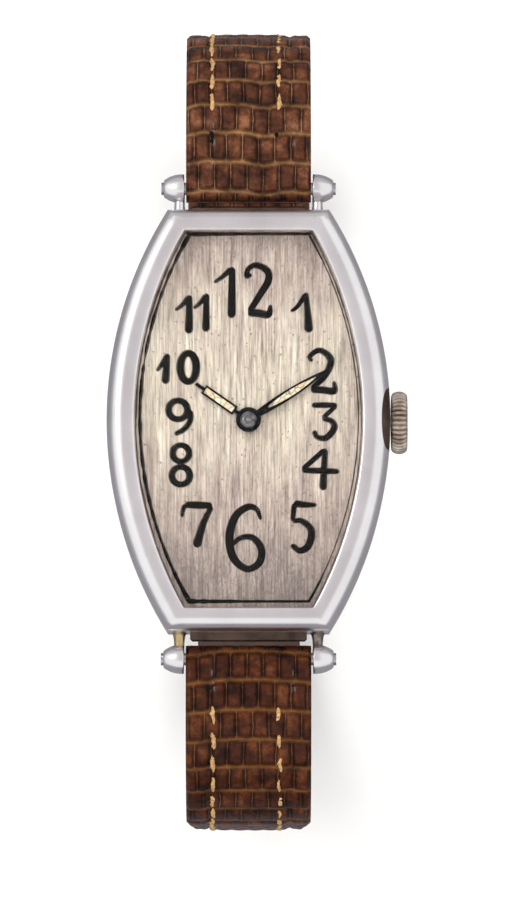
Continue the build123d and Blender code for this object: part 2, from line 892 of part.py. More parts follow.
# Keepers: a fixed loop next to the buckle and a loose one that slides above it
keeper_base = path_12.length - heel_flat - heel_bend_radius * half_turn
keeper_side = strap_end_width / 2 + keeper_clearance
keeper_low = -half_strap - keeper_clearance
keeper_high = half_strap + strap_thickness + keeper_clearance
keeper_middle = (keeper_low + keeper_high) / 2
keeper_outer_width = 2 * (keeper_side + keeper_wall)
keeper_outer_height = keeper_high - keeper_low + 2 * keeper_wall
fixed_keeper_at = keeper_base - keeper_start
sliding_keeper_at = fixed_keeper_at - keeper_width - keeper_spacing
for label, lower_edge in (("fixed_keeper", fixed_keeper_at),
                          ("sliding_keeper", sliding_keeper_at)):
    with BuildPart() as keeper:
        with BuildSketch(station(path_12, lower_edge - keeper_width, 1)):
            with Locations((0, keeper_middle)):
                RectangleRounded(keeper_outer_width, keeper_outer_height, keeper_wall)
                Rectangle(2 * keeper_side, keeper_high - keeper_low, mode=Mode.SUBTRACT)
        extrude(amount=keeper_width)
    save(keeper, label)

# Buckle: an open frame on a bar through the strap's end, with a tongue on the bar
frame_end_y = buckle_y - buckle_reach
frame_width = buckle_window + 2 * buckle_arm
frame_length = buckle_reach + buckle_heel
with BuildPart() as buckle_frame:
    with BuildSketch(Plane.XY.offset(buckle_z - buckle_thickness / 2)):
        with Locations((0, frame_end_y + frame_length / 2)):
            Rectangle(frame_width, frame_length)
        with Locations((0, frame_end_y + buckle_end_bar + frame_length / 2)):
            Rectangle(buckle_window, frame_length, mode=Mode.SUBTRACT)
    extrude(amount=buckle_thickness)
    corners = buckle_frame.edges().filter_by(Axis.Z).group_by(Axis.Y)[0]
    fillet(corners, radius=buckle_corner)
    with BuildSketch(Plane.YZ):
        with Locations((buckle_y, buckle_z)):
            Circle(buckle_bar_diameter / 2)
    extrude(amount=frame_width, both=True, mode=Mode.SUBTRACT)
    rims = buckle_frame.edges().group_by(Axis.Z)
    chamfer(rims[-1] + rims[0], length=buckle_edge)
save(buckle_frame, "buckle_frame")

with BuildPart() as buckle_bar:
    with BuildSketch(Plane.YZ):
        with Locations((buckle_y, buckle_z)):
            Circle(buckle_bar_diameter / 2)
    extrude(amount=frame_width / 2, both=True)
save(buckle_bar, "buckle_bar")

tongue_top_z = buckle_z - buckle_thickness / 2 - tongue_clearance
with BuildPart() as buckle_tongue:
    with BuildSketch(Plane.YZ):
        with Locations((buckle_y, buckle_z)):
            Circle(tongue_ring_radius)
    extrude(amount=tongue_ring_width / 2, both=True)
    with BuildSketch(Plane.XY.offset(tongue_top_z)):
        with Locations((0, (frame_end_y + buckle_y) / 2)):
            Rectangle(tongue_width, buckle_y - frame_end_y)
    extrude(amount=-tongue_thickness)
    tip = buckle_tongue.edges().filter_by(Axis.Z).group_by(Axis.Y)[0]
    fillet(tip, radius=tongue_tip_round)
    with BuildSketch(Plane.YZ):
        with Locations((buckle_y, buckle_z)):
            Circle(buckle_bar_diameter / 2 + hinge_clearance)
    extrude(amount=strap_width, both=True, mode=Mode.SUBTRACT)
save(buckle_tongue, "buckle_tongue")

# Movement levels, each one a distance below the main plate
def below(drop, thickness):
    """The bottom and top height of a disc that hangs this far below the plate."""
    return plate_z - drop - thickness, plate_z - drop


centre_z, centre_top_z = below(centre_wheel_drop, wheel_thickness)
third_z, third_top_z = below(third_wheel_drop, wheel_thickness)
fourth_z, fourth_top_z = below(fourth_wheel_drop, wheel_thickness)
escape_z, escape_top_z = below(escape_wheel_drop, wheel_thickness)
barrel_z, barrel_top_z = below(barrel_drop, barrel_height)
balance_z = below(balance_drop, balance_thickness)[0]
roller_z = below(roller_drop, roller_thickness)[0]
cock_top_z = bridge_z + cock_thickness
pallet_cock_z, pallet_cock_top_z = below(pallet_cock_drop, pallet_cock_thickness)
pivot_low_z = bridge_z + pivot_clearance
pivot_high_z = plate_z + pivot_depth
arbor_top_z = plate_z - pivot_clearance
motion_z = plate_top_z + motion_gap
motion_top_z = motion_z + motion_thickness
hour_wheel_z = motion_top_z + hour_wheel_gap
hour_wheel_top_z = hour_wheel_z + hour_wheel_thickness
train_points = [third_at, fourth_at, escape_at]
pivot_hole = pivot_radius + pivot_clearance
plate_pivots = [third_at, fourth_at, escape_at, balance_at, pallet_at]

# Main plate: the movement's base, drilled for every shaft, slotted for the keyless work
keyless_middle_x = (keyless_slot_start + keyless_slot_end) / 2
keyless_length = keyless_slot_end - keyless_slot_start
with BuildPart() as main_plate:
    with BuildSketch(Plane.XY.offset(plate_z)):
        add(tonneau(case_size, band_wall + plate_gap))
        bore(centre_shaft_radius + pivot_clearance)
        with Locations(barrel_at):
            bore(barrel_shaft_radius + pivot_clearance)
        with Locations((keyless_middle_x, 0)):
            Rectangle(keyless_length, keyless_slot_width, mode=Mode.SUBTRACT)
        with Locations(*dial_feet):
            bore(dial_foot_radius + pivot_clearance)
        with Locations(*plate_pivots):
            bore(pivot_hole)
    extrude(amount=plate_thickness)
    with BuildSketch(Plane.XY.offset(plate_top_z)):
        with Locations((minute_wheel_x, minute_wheel_y), (setting_wheel_x, 0)):
            pin(minute_post_radius)
    extrude(amount=motion_gap + motion_thickness)
save(main_plate, "main_plate")

plate_outline = tonneau(case_size, bridge_inset)
plate_half_width = case_width / 2
plate_half_length = case_length / 2


def region(points):
    """A flat outline through these corners."""
    with BuildSketch() as outline:
        with BuildLine():
            Polyline(*points, close=True)
        make_face()
    return outline.sketch


barrel_region = region([(-plate_half_width, bridge_split_y), (bridge_step_x, bridge_split_y),
                        (bridge_step_x, bridge_step_y), (plate_half_width, bridge_step_y),
                        (plate_half_width, plate_half_length),
                        (-plate_half_width, plate_half_length)])
train_split_y = bridge_split_y - bridge_slit
train_step_x = bridge_step_x - bridge_slit
train_step_y = bridge_step_y - bridge_slit
train_region = region([(-plate_half_width, train_split_y), (train_step_x, train_split_y),
                       (train_step_x, train_step_y), (train_right_x, train_step_y),
                       (train_foot_x, train_bottom_y),
                       (-plate_half_width, train_bottom_y)])

# Barrel bridge: covers the barrel and carries the winding wheels
with BuildPart() as barrel_bridge:
    with BuildSketch(Plane.XY.offset(bridge_z)):
        add(barrel_region)
        add(plate_outline, mode=Mode.INTERSECT)
        with Locations(barrel_at):
            bore(barrel_shaft_radius + pivot_clearance)
        with Locations((keyless_middle_x, 0)):
            Rectangle(keyless_length, keyless_slot_width, mode=Mode.SUBTRACT)
    extrude(amount=bridge_thickness)
    with BuildSketch(Plane.XY.offset(bridge_top_z)):
        with Locations((0, (barrel_foot_y + plate_half_length) / 2)):
            Rectangle(case_width, plate_half_length - barrel_foot_y)
        with Locations(((barrel_foot_x - plate_half_width) / 2,
                        (bridge_split_y + plate_half_length) / 2)):
            Rectangle(plate_half_width + barrel_foot_x, plate_half_length - bridge_split_y)
        add(plate_outline, mode=Mode.INTERSECT)
    extrude(amount=bridge_gap)
save(barrel_bridge, "barrel_bridge")

# Train bridge: carries the centre, third, fourth and escape pivots
with BuildPart() as train_bridge:
    with BuildSketch(Plane.XY.offset(bridge_z)):
        add(train_region)
        add(plate_outline, mode=Mode.INTERSECT)
        with Locations(balance_at):
            Circle(balance_radius + bridge_slit, mode=Mode.SUBTRACT)
        bore(centre_shaft_radius + pivot_clearance)
        with Locations(*train_points):
            pin(jewel_radius, Mode.SUBTRACT)
    extrude(amount=bridge_thickness)
    with BuildSketch(Plane.XY.offset(bridge_top_z)):
        with Locations(((train_foot_x - plate_half_width) / 2,
                        (train_foot_y + train_bottom_y) / 2)):
            Rectangle(plate_half_width + train_foot_x, train_foot_y - train_bottom_y)
        with Locations(((train_side_foot_x - plate_half_width) / 2,
                        (train_split_y + train_side_foot_y) / 2)):
            Rectangle(plate_half_width + train_side_foot_x,
                      train_split_y - train_side_foot_y)
        add(plate_outline, mode=Mode.INTERSECT)
    extrude(amount=bridge_gap)
save(train_bridge, "train_bridge")

# Balance cock: one arm from its foot to the balance's upper jewel
cock_foot_width = cock_foot_right - cock_foot_left
cock_foot_depth = cock_foot_y - cock_foot_end_y
cock_foot_middle = ((cock_foot_left + cock_foot_right) / 2,
                    (cock_foot_y + cock_foot_end_y) / 2)
with BuildPart() as balance_cock:
    with BuildSketch(Plane.XY.offset(bridge_z)):
        with BuildLine():
            Polyline((balance_at[0] - cock_nose_radius, balance_at[1]),
                     (cock_foot_left, cock_foot_y), (cock_foot_right, cock_foot_y),
                     (balance_at[0] + cock_nose_radius, balance_at[1]), close=True)
        make_face()
        with Locations(balance_at):
            Circle(cock_nose_radius)
            pin(jewel_radius, Mode.SUBTRACT)
    extrude(amount=cock_thickness)
    with BuildSketch(Plane.XY.offset(bridge_z)):
        with Locations(cock_foot_middle):
            Rectangle(cock_foot_width, cock_foot_depth)
    extrude(amount=plate_z - bridge_z)
save(balance_cock, "balance_cock")

# Pallet cock: a small bar on two feet over the pallet fork
pallet_turn = balance_angle + 90
pallet_foot_reach = pallet_cock_length * pallet_feet_share
pallet_feet = [polar(pallet_foot_reach, pallet_turn, pallet_at),
               polar(pallet_foot_reach, pallet_turn + 180, pallet_at)]
with BuildPart() as pallet_cock:
    with BuildSketch(Plane.XY.offset(pallet_cock_z)):
        with Locations(Location((pallet_at[0], pallet_at[1], 0), (0, 0, pallet_turn))):
            SlotOverall(pallet_cock_length, pallet_cock_width)
            bore(pivot_hole)
    extrude(amount=pallet_cock_thickness)
    with BuildSketch(Plane.XY.offset(pallet_cock_top_z)):
        with Locations(*pallet_feet):
            pin(pallet_foot_radius)
    extrude(amount=plate_z - pallet_cock_top_z)
save(pallet_cock, "pallet_cock")

# Jewels: rings of synthetic ruby pressed into the bridges
with BuildPart() as jewels:
    with BuildSketch(Plane.XY.offset(bridge_z)):
        with Locations(*train_points, balance_at):
            pin(jewel_radius)
            bore(pivot_hole)
    extrude(amount=jewel_thickness)
save(jewels, "jewels")

# Barrel: a toothed drum with a lid, the spring inside it and the arbor through it
barrel_bore = barrel_radius - barrel_wall
lid_z = barrel_z + barrel_floor
stacked("mainspring_barrel", barrel_at,
        [(toothed(barrel_radius, barrel_teeth, barrel_shaft_radius + pivot_clearance),
          barrel_top_z - barrel_floor, barrel_top_z),
         (drum(barrel_radius - tooth_depth, barrel_bore), lid_z, barrel_top_z - barrel_floor)])
stacked("barrel_lid", barrel_at,
        [(drum(barrel_radius - tooth_depth, barrel_shaft_radius + pivot_clearance),
          barrel_z, lid_z)])
stacked("barrel_arbor", barrel_at,
        [(disc(barrel_shaft_radius), cap_top_z - cap_thickness, pivot_high_z),
         (rod(barrel_hub_radius), lid_z + pivot_clearance,
          barrel_top_z - barrel_floor - pivot_clearance)])


def spiral(label, centre, inner, pitch, turns, strip, bottom, height):
    """A flat spiral spring of short straights that grows by one pitch a turn."""
    points = []
    for step in range(turns * spiral_sides + 1):
        share = step / spiral_sides
        points.append(polar(inner + pitch * share, 180 + 360 * share))
    with BuildPart() as spring:
        with BuildSketch(Plane(origin=(centre[0], centre[1], bottom))):
            with BuildLine(mode=Mode.PRIVATE) as coil:
                Polyline(*points)
            trace(coil.line, line_width=strip)
        extrude(amount=height)
    save(spring, label)


spring_inner = barrel_hub_radius + spring_strip
spring_pitch = (barrel_bore - spring_inner - spring_strip) / (spring_turns + 1 / 2)
spiral("mainspring", barrel_at, spring_inner, spring_pitch, spring_turns, spring_strip,
       lid_z + pivot_clearance, barrel_height - 2 * (barrel_floor + pivot_clearance))
spiral("hairspring", balance_at, hairspring_inner, hairspring_pitch, hairspring_turns,
       hairspring_strip, plate_z - hairspring_drop - hairspring_height, hairspring_height)

# Going train: each wheel shares its shaft with the pinion that the last wheel drives

def leaves(radius):
    """A pinion's toothed outline."""
    return toothed(radius, pinion_leaves, depth=pinion_tooth_depth)


wheel_hub = pivot_radius
centre_hub = centre_shaft_radius / 2
stacked("centre_wheel", (0, 0),
        [(toothed(centre_wheel_radius, centre_teeth, centre_hub, wheel_spokes), centre_z,
          centre_top_z),
         (leaves(centre_pinion_radius), barrel_z, centre_z),
         (rod(centre_shaft_radius), bridge_z, centre_top_z),
         (disc(centre_shaft_radius), centre_top_z, pipe_top_z)])
stacked("third_wheel", third_at,
        [(toothed(third_wheel_radius, third_teeth, wheel_hub, wheel_spokes), third_z,
          third_top_z),
         (leaves(third_pinion_radius), third_top_z, centre_top_z),
         (rod(arbor_radius), bridge_top_z + pivot_clearance, arbor_top_z),
         (rod(pivot_radius), pivot_low_z, bridge_top_z + pivot_clearance),
         (disc(pivot_radius), arbor_top_z, pivot_high_z)])
stacked("fourth_wheel", fourth_at,
        [(toothed(fourth_wheel_radius, fourth_teeth, wheel_hub, wheel_spokes), fourth_z,
          fourth_top_z),
         (leaves(fourth_pinion_radius), fourth_top_z, third_top_z),
         (rod(arbor_radius), bridge_top_z + pivot_clearance, arbor_top_z),
         (rod(pivot_radius), pivot_low_z, bridge_top_z + pivot_clearance),
         (disc(pivot_radius), arbor_top_z, pivot_high_z)])
stacked("escape_wheel", escape_at,
        [(toothed(escape_wheel_radius, escape_teeth, wheel_hub, wheel_spokes), escape_z,
          escape_top_z),
         (leaves(escape_pinion_radius), fourth_z, fourth_top_z),
         (rod(arbor_radius), fourth_z, arbor_top_z),
         (rod(pivot_radius), pivot_low_z, fourth_z),
         (disc(pivot_radius), arbor_top_z, pivot_high_z)])

# Pallet fork: a lever from the escape wheel to the balance's roller
fork_length = escape_to_balance_length - escape_wheel_radius - pallet_gap - fork_horn_gap
with BuildPart() as pallet_fork:
    with BuildSketch(Plane.XY.offset(escape_z)):
        with Locations(Location((pallet_at[0], pallet_at[1], 0), (0, 0, balance_angle))):
            with Locations((fork_length / 2, 0)):
                Rectangle(fork_length, fork_width)
            with Locations((fork_length - fork_width / 2, 0)):
                Rectangle(fork_width, fork_head_width)
            with Locations((fork_length, 0)):
                Rectangle(fork_width, fork_notch_width, mode=Mode.SUBTRACT)
            Rectangle(fork_width, 2 * pallet_arm_reach)
            for side in (1, -1):
                with Locations((-pallet_arm_lean / 2, side * pallet_arm_reach)):
                    Rectangle(pallet_arm_lean + fork_width, fork_width)
    extrude(amount=wheel_thickness)
    with BuildSketch(Plane.XY.offset(pallet_cock_z)):
        with Locations(pallet_at):
            Circle(pivot_radius)
    extrude(amount=pivot_high_z - pallet_cock_z)
save(pallet_fork, "pallet_fork")

# Balance: a rim on two arms, its staff between the two jewels and the roller
with BuildPart() as balance_wheel:
    with BuildSketch(Plane.XY.offset(balance_z)):
        with Locations(balance_at):
            RegularPolygon(balance_radius, drum_sides)
            RegularPolygon(balance_radius - balance_rim, drum_sides, mode=Mode.SUBTRACT)
            Rectangle(2 * balance_radius - balance_rim, spoke_width)
            pin(roller_radius)
    extrude(amount=balance_thickness)
    with BuildSketch(Plane.XY.offset(roller_z)):
        with Locations(balance_at):
            pin(roller_radius)
    extrude(amount=roller_thickness)
    with BuildSketch(Plane.XY.offset(cock_top_z + pivot_clearance)):
        with Locations(balance_at):
            pin(arbor_radius)
    extrude(amount=arbor_top_z - cock_top_z - pivot_clearance)
    with BuildSketch(Plane.XY.offset(pivot_low_z)):
        with Locations(balance_at):
            pin(pivot_radius)
    extrude(amount=cock_top_z + pivot_clearance - pivot_low_z)
    with BuildSketch(Plane.XY.offset(arbor_top_z)):
        with Locations(balance_at):
            Circle(pivot_radius)
    extrude(amount=pivot_high_z - arbor_top_z)
save(balance_wheel, "balance_wheel")

# Motion work: minute wheel, hour wheel and cannon pinion under the dial
cannon_bore = centre_shaft_radius + pipe_clearance
stacked("cannon_pinion", (0, 0),
        [(toothed(cannon_pinion_radius, cannon_teeth, cannon_bore), motion_z, motion_top_z),
         (disc(cannon_pipe_radius, cannon_bore), motion_top_z, pipe_top_z)])
stacked("hour_wheel", (0, 0),
        [(toothed(hour_wheel_radius, hour_teeth, cannon_pipe_radius + pipe_clearance),
          hour_wheel_z, hour_wheel_top_z),
         (drum(hour_pipe_radius, cannon_pipe_radius + pipe_clearance), hour_wheel_top_z,
          hour_collar_z)])
minute_bore = minute_post_radius + pipe_clearance
stacked("minute_wheel", minute_wheel_at,
        [(toothed(minute_wheel_radius, minute_teeth, minute_bore), motion_z, motion_top_z),
         (toothed(minute_pinion_radius, pinion_leaves, 0, 0, pinion_tooth_depth),
          motion_top_z, hour_wheel_top_z)])
stacked("setting_wheel", (setting_wheel_x, 0),
        [(toothed(setting_wheel_radius, setting_teeth, minute_bore), motion_z, motion_top_z)])

# Winding work: ratchet wheel on the barrel arbor, crown wheel and click
stacked("ratchet_wheel", barrel_at,
        [(toothed(ratchet_radius, ratchet_teeth, barrel_shaft_radius), cap_top_z - cap_thickness,
          cap_top_z)])
crown_core_radius = screw_head_radius
stacked("crown_wheel", (crown_wheel_x, 0),
        [(toothed(crown_wheel_radius, crown_wheel_teeth,
                  crown_core_radius + pivot_clearance),
          cap_top_z - cap_thickness, cap_top_z)])
beak_reach = barrel_to_click_length - ratchet_radius
with BuildPart() as click:
    with BuildSketch(Plane.XY.offset(cap_top_z - cap_thickness)):
        with Locations(click_at):
            Circle(click_radius)
        with Locations(Location((click_at[0], click_at[1], 0), (0, 0, click_angle + 180))):
            with Locations(((beak_reach - mesh_gap) / 2, 0)):
                Rectangle(beak_reach - mesh_gap, click_beak)
        with Locations(click_at):
            Circle(screw_shank_radius + pivot_clearance, mode=Mode.SUBTRACT)
    extrude(amount=cap_thickness)
save(click, "click")

for label, start_x, length, radius, hole in (
        ("sliding_pinion", keyless_slot_start + keyless_gap, sliding_pinion_length,
         sliding_pinion_radius, 0),
        ("winding_pinion", square_end_x, winding_pinion_length, winding_pinion_radius,
         stem_diameter / 2 + square_clearance)):
    with BuildPart() as pinion:
        with BuildSketch(Plane.YZ.offset(start_x)):
            with Locations((0, stem_z)):
                add(zigzag(radius, winding_teeth, tooth_depth))
                if hole:
                    Circle(hole, mode=Mode.SUBTRACT)
                else:
                    Rectangle(stem_square + square_clearance, stem_square + square_clearance,
                              mode=Mode.SUBTRACT)
        extrude(amount=length)
    save(pinion, label)

# Screws: slotted heads on the bridges, and the two that hold the winding wheels
# Their places are shares of the case's half width and half length.
bridge_screw_shares = [(-0.63, 0.16), (0.52, 0.72), (-0.38, 0.77), (-0.52, -0.51),
                       (-0.67, -0.1), (0.24, -0.78)]
with BuildPart() as bridge_screws:
    for share_x, share_y in bridge_screw_shares:
        place = (share_x * plate_half_width, share_y * plate_half_length)
        with BuildSketch(Plane.XY.offset(bridge_z)):
            with Locations(place):
                pin(screw_head_radius)
        extrude(amount=-screw_head_height)
        with BuildSketch(Plane.XY.offset(bridge_z - screw_head_height)):
            with Locations(place):
                Rectangle(2 * screw_head_radius, screw_slot)
        extrude(amount=screw_slot_depth, mode=Mode.SUBTRACT)
save(bridge_screws, "bridge_screws")

with BuildPart() as winding_screws:
    with BuildSketch(Plane.XY.offset(cap_top_z - cap_thickness)):
        with Locations((crown_wheel_x, 0)):
            pin(crown_core_radius)
    extrude(amount=cap_thickness + cap_gap)
    with BuildSketch(Plane.XY.offset(cap_top_z - cap_thickness)):
        with Locations(click_at):
            pin(screw_shank_radius)
    extrude(amount=cap_thickness + cap_gap)
save(winding_screws, "winding_screws")
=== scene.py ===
# %% [markdown]
# # A tonneau watch
# A CAD program packed this watch as separate pieces on moving bodies. It could be modelled
# again from nothing, but then its sizes and joints would be lost. So this file dresses the
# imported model: each piece keeps its place, and gets its real surface and finish. Lengths are
# in millimetres in the formulas and are turned to metres when a mesh is made.

import functools
import math

import bpy
import numpy as np
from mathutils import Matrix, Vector


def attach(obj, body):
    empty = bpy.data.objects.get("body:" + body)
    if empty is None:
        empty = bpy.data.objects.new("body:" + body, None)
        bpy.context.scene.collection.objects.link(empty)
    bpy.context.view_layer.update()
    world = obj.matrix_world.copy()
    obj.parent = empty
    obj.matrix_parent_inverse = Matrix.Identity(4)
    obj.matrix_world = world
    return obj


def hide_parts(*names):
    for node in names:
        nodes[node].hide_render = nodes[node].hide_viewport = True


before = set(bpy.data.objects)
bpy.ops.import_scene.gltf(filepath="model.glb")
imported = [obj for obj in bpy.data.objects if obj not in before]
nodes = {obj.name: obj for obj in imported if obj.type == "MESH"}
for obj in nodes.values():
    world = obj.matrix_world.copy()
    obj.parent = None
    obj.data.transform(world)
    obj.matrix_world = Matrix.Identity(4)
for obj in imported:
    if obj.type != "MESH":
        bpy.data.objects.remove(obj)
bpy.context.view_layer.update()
scene = bpy.context.scene
rng = np.random.default_rng(7)

# %% [markdown]
# ## One way to make every surface
# Turned, swept and barrel-shaped pieces could be modelled by hand, but all of them are a
# profile carried round a path. So each one here is a grid of points worked out with numpy,
# and one function joins the grid's neighbours into four-sided faces.

# %% A mesh from a grid of points
millimetre = 0.001


def surface(name, grid, body, material, close_u=True, close_v=True, crease=35, places=None):
    """Joins point (i, j) of each grid to (i + 1, j) and (i, j + 1), going round to the first
    again where a direction closes. An open u direction is capped at both ends. The faces are
    turned outwards when the volume, a sum of p0 . (p1 x p2) / 6, is negative. Edges sharper
    than crease degrees stay sharp, and places, a map of the grid, is kept as the piece's UV."""
    grid = np.asarray(grid, dtype=float)
    if grid.ndim == 3:
        grid = grid[None]
    copies, rows, columns = grid.shape[:3]
    index = np.arange(rows * columns).reshape(rows, columns)
    near = index if close_u else index[:-1]
    far = np.roll(index, -1, axis=0) if close_u else index[1:]
    kept = slice(None) if close_v else slice(0, -1)
    around = (near, np.roll(near, -1, axis=1), np.roll(far, -1, axis=1), far)
    quads = np.stack([corner[:, kept] for corner in around], -1).reshape(-1, 4)
    starts = np.arange(copies) * rows * columns
    quads = (quads[None] + starts[:, None, None]).reshape(-1, 4)
    points = grid.reshape(-1, 3)
    a, b, c, d = (points[quads[:, k]] for k in range(4))
    volume = (a * np.cross(b, c)).sum() + (a * np.cross(c, d)).sum()
    faces = quads.tolist()
    if not close_u:
        faces += [(index[0][::-1] + start).tolist() for start in starts]
        faces += [(index[-1] + start).tolist() for start in starts]
    mesh = bpy.data.meshes.new(name)
    mesh.from_pydata((points * millimetre).tolist(), [], faces)
    if places is not None:
        corners = np.empty(len(mesh.loops), dtype=np.int32)
        mesh.loops.foreach_get("vertex_index", corners)
        uv = np.asarray(places, dtype=float).reshape(-1, 2)[corners]
        mesh.uv_layers.new(name="place").data.foreach_set("uv", uv.ravel())
    if volume < 0:
        mesh.flip_normals()
    mesh.polygons.foreach_set("use_smooth", [True] * len(mesh.polygons))
    mesh.set_sharp_from_angle(angle=math.radians(crease))
    mesh.validate()
    made = bpy.data.objects.new(name, mesh)
    scene.collection.objects.link(made)
    mesh.materials.append(material)
    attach(made, body)
    return made


def smooth_steps(low, high, values):
    """0 below low, 1 above high, and 3 t^2 - 2 t^3 between them."""
    t = np.clip((values - low) / (high - low), 0, 1)
    return t * t * (3 - 2 * t)


print("smooth steps from 0 to 1:", *smooth_steps(0, 1, np.linspace(0, 1, 5)).round(2))

# %% [markdown]
# ## One way to make every finish
# A finish could be painted or photographed, but a pattern worked out by nodes has no seams
# and shows the same from any distance. One function adds a shader node with its settings
# and links, so a finish reads as a short list, from its pattern to its shader.

# %% Nodes, colours and materials
def linear(code):
    """An sRGB hex colour as linear light: c / 12.92 when dark, ((c + 0.055) / 1.055) ^ 2.4 else."""
    parts = [int(code[k:k + 2], 16) / 255 for k in (1, 3, 5)]
    return [c / 12.92 if c <= 0.04045 else ((c + 0.055) / 1.055) ** 2.4 for c in parts] + [1.0]


def add_node(tree, kind, inputs=None, stops=None, **settings):
    """Adds one shader node. settings are its own options, and stops the positions and colours
    of a ramp. An input is a value, a socket, or a node, which gives its first live output."""
    made = tree.nodes.new("ShaderNode" + kind)
    for name, value in settings.items():
        setattr(made, name, value)
    for name, value in (inputs or {}).items():
        if isinstance(value, bpy.types.Node):
            value = next(socket for socket in value.outputs if socket.enabled)
        if isinstance(value, bpy.types.NodeSocket):
            tree.links.new(value, made.inputs[name])
        else:
            made.inputs[name].default_value = value
    for number, (position, code) in enumerate(stops or []):
        points = made.color_ramp.elements
        point = points[number] if number < 2 else points.new(position)
        point.position, point.color = position, linear(code)
    return made


def new_material(name):
    """A material with an empty node tree, add_node for that tree, and Object coordinates."""
    made = bpy.data.materials.new(name)
    made.use_nodes = True
    made.node_tree.nodes.clear()
    node = functools.partial(add_node, made.node_tree)
    return made, node, node("TexCoord").outputs["Object"]


def finish(node, bump=None, **inputs):
    """Ends a material with a Principled shader, and with a bump when (height, metres) is given."""
    names = {name.replace("_", " "): value for name, value in inputs.items()}
    if bump is not None:
        names["Normal"] = node("Bump", {"Height": bump[0], "Distance": bump[1]})
    node("OutputMaterial", {"Surface": node("BsdfPrincipled", names)})


def grain(node, where, scales, detail=4, roughness=0.6):
    """Noise stretched by a Mapping node: scales are cycles per metre along X, Y and Z, or
    one number for all three, so 1000 gives patches of 1 mm."""
    place = node("Mapping", {"Vector": where, "Scale": np.broadcast_to(scales, 3).tolist()})
    return node("TexNoise", {"Vector": place, "Scale": 1.0, "Detail": detail,
                             "Roughness": roughness})


# A Mix node of colours has its share at input 0 and its two colours at inputs 6 and 7.
colours = {"data_type": "RGBA"}
multiplied = {"data_type": "RGBA", "blend_type": "MULTIPLY"}
print("mid grey #808080 is", round(linear("#808080")[0], 3), "as linear light")

# %% [markdown]
# ### Metals
# The case is chromed brass, polished: almost a mirror, with faint wiping marks. The crown is
# warm, worn nickel. The movement is frosted nickel, gilt brass and polished steel. The hands
# are blackened. An image of each metal could be wrapped round, but a metal is told by three
# things: its colour, its roughness and its fine marks. So one function takes those, and all of
# them keep the default IOR. Patches are from 0.4 mm wide on the frosted plates to 6 mm on the
# case, whose wiping marks are 1 mm apart.

# %% Polished and worn metals
def metal(name, dark, light, roughness, spread=0.08, scales=700, marks=0.000004):
    """A metal whose colour and roughness drift over patches. Its bump has scratches six times
    finer than the patches, and marks is their depth in metres."""
    made, node, where = new_material(name)
    patches = grain(node, where, scales, detail=5)
    colour = node("ValToRGB", {"Fac": patches}, [(0.35, dark), (0.65, light)])
    wear = node("MapRange", {"Value": patches, "To Min": roughness - spread / 2,
                             "To Max": roughness + spread / 2})
    fine = grain(node, where, 6 * np.asarray(scales), detail=3)
    finish(node, bump=(fine, marks), Base_Color=colour, Metallic=1.0, Roughness=wear)
    return made


polished_chrome = metal("polished_chrome", "#e6e3e4", "#f2eff0", 0.26, scales=160,
                        marks=0.0000015)
tarnished_chrome = metal("tarnished_chrome", "#2e2118", "#a89c92", 0.3)
exposed_brass = metal("exposed_brass", "#9a7a3c", "#c9b48a", 0.3, scales=500)
worn_nickel = metal("worn_nickel", "#a39183", "#ded3c5", 0.3, scales=900)
# Dark nickel that stands partly for grime and partly for painted shade and reflection: the lips
# between the lugs, the sliver beside the crown and the ring round the dial.
grime_and_painted_shade_nickel = metal("grime_and_painted_shade_nickel", "#4a3e36", "#6a5a50", 0.5, scales=400)
frosted_nickel = metal("frosted_nickel", "#b4b0a8", "#cfccc4", 0.42, scales=2500)
gilt_brass = metal("gilt_brass", "#a9823c", "#cda65a", 0.28, scales=1500)
brushed_steel = metal("brushed_steel", "#a9a6a6", "#c9c6c5", 0.34, scales=(4000, 90, 4000))
polished_steel = metal("polished_steel", "#9b9b9e", "#c4c4c7", 0.22, scales=900)
blued_steel = metal("blued_steel", "#15151b", "#2a2a38", 0.25, scales=900)
blackened_steel = metal("blackened_steel", "#0d0d0e", "#2b2b2c", 0.3, scales=900)
oxidised_steel = metal("oxidised_steel", "#3a3a3d", "#a3a3a3", 0.3, scales=1500)
print("each metal has", len(worn_nickel.node_tree.nodes), "nodes")

# %% [markdown]
# ### Silvered dial
# The dial is brass, silvered and brushed from 12 to 6, and stained by age. It could be
# painted in layers, but here each layer is noise of its own: streaks and broader bands
# stretched 25 times along Y, warm and lilac patches 5 mm long that darken towards the rim,
# dust, and brown specks 0.6 mm apart. Real brushing is 0.02 mm apart. It is drawn 0.17 mm
# apart, because a pixel of the render is 0.09 mm.

# %% Aged silver, brushed from 12 to 6
aged_silver, node, where = new_material("aged_brushed_silver")
streaks = grain(node, where, (6000, 240, 240), detail=8, roughness=0.8)
tone = node("ValToRGB", {"Fac": streaks},
            [(0.36, "#7f7a70"), (0.49, "#cfc8b9"), (0.62, "#fbf3e4")])
bands = grain(node, where, (2200, 90, 90), detail=7, roughness=0.7)
band = node("ValToRGB", {"Fac": bands}, [(0.36, "#bdb2b4"), (0.5, "#efeae4"), (0.62, "#ffffff")])
brushed = node("Mix", {0: 0.75, 6: tone, 7: band}, **multiplied)
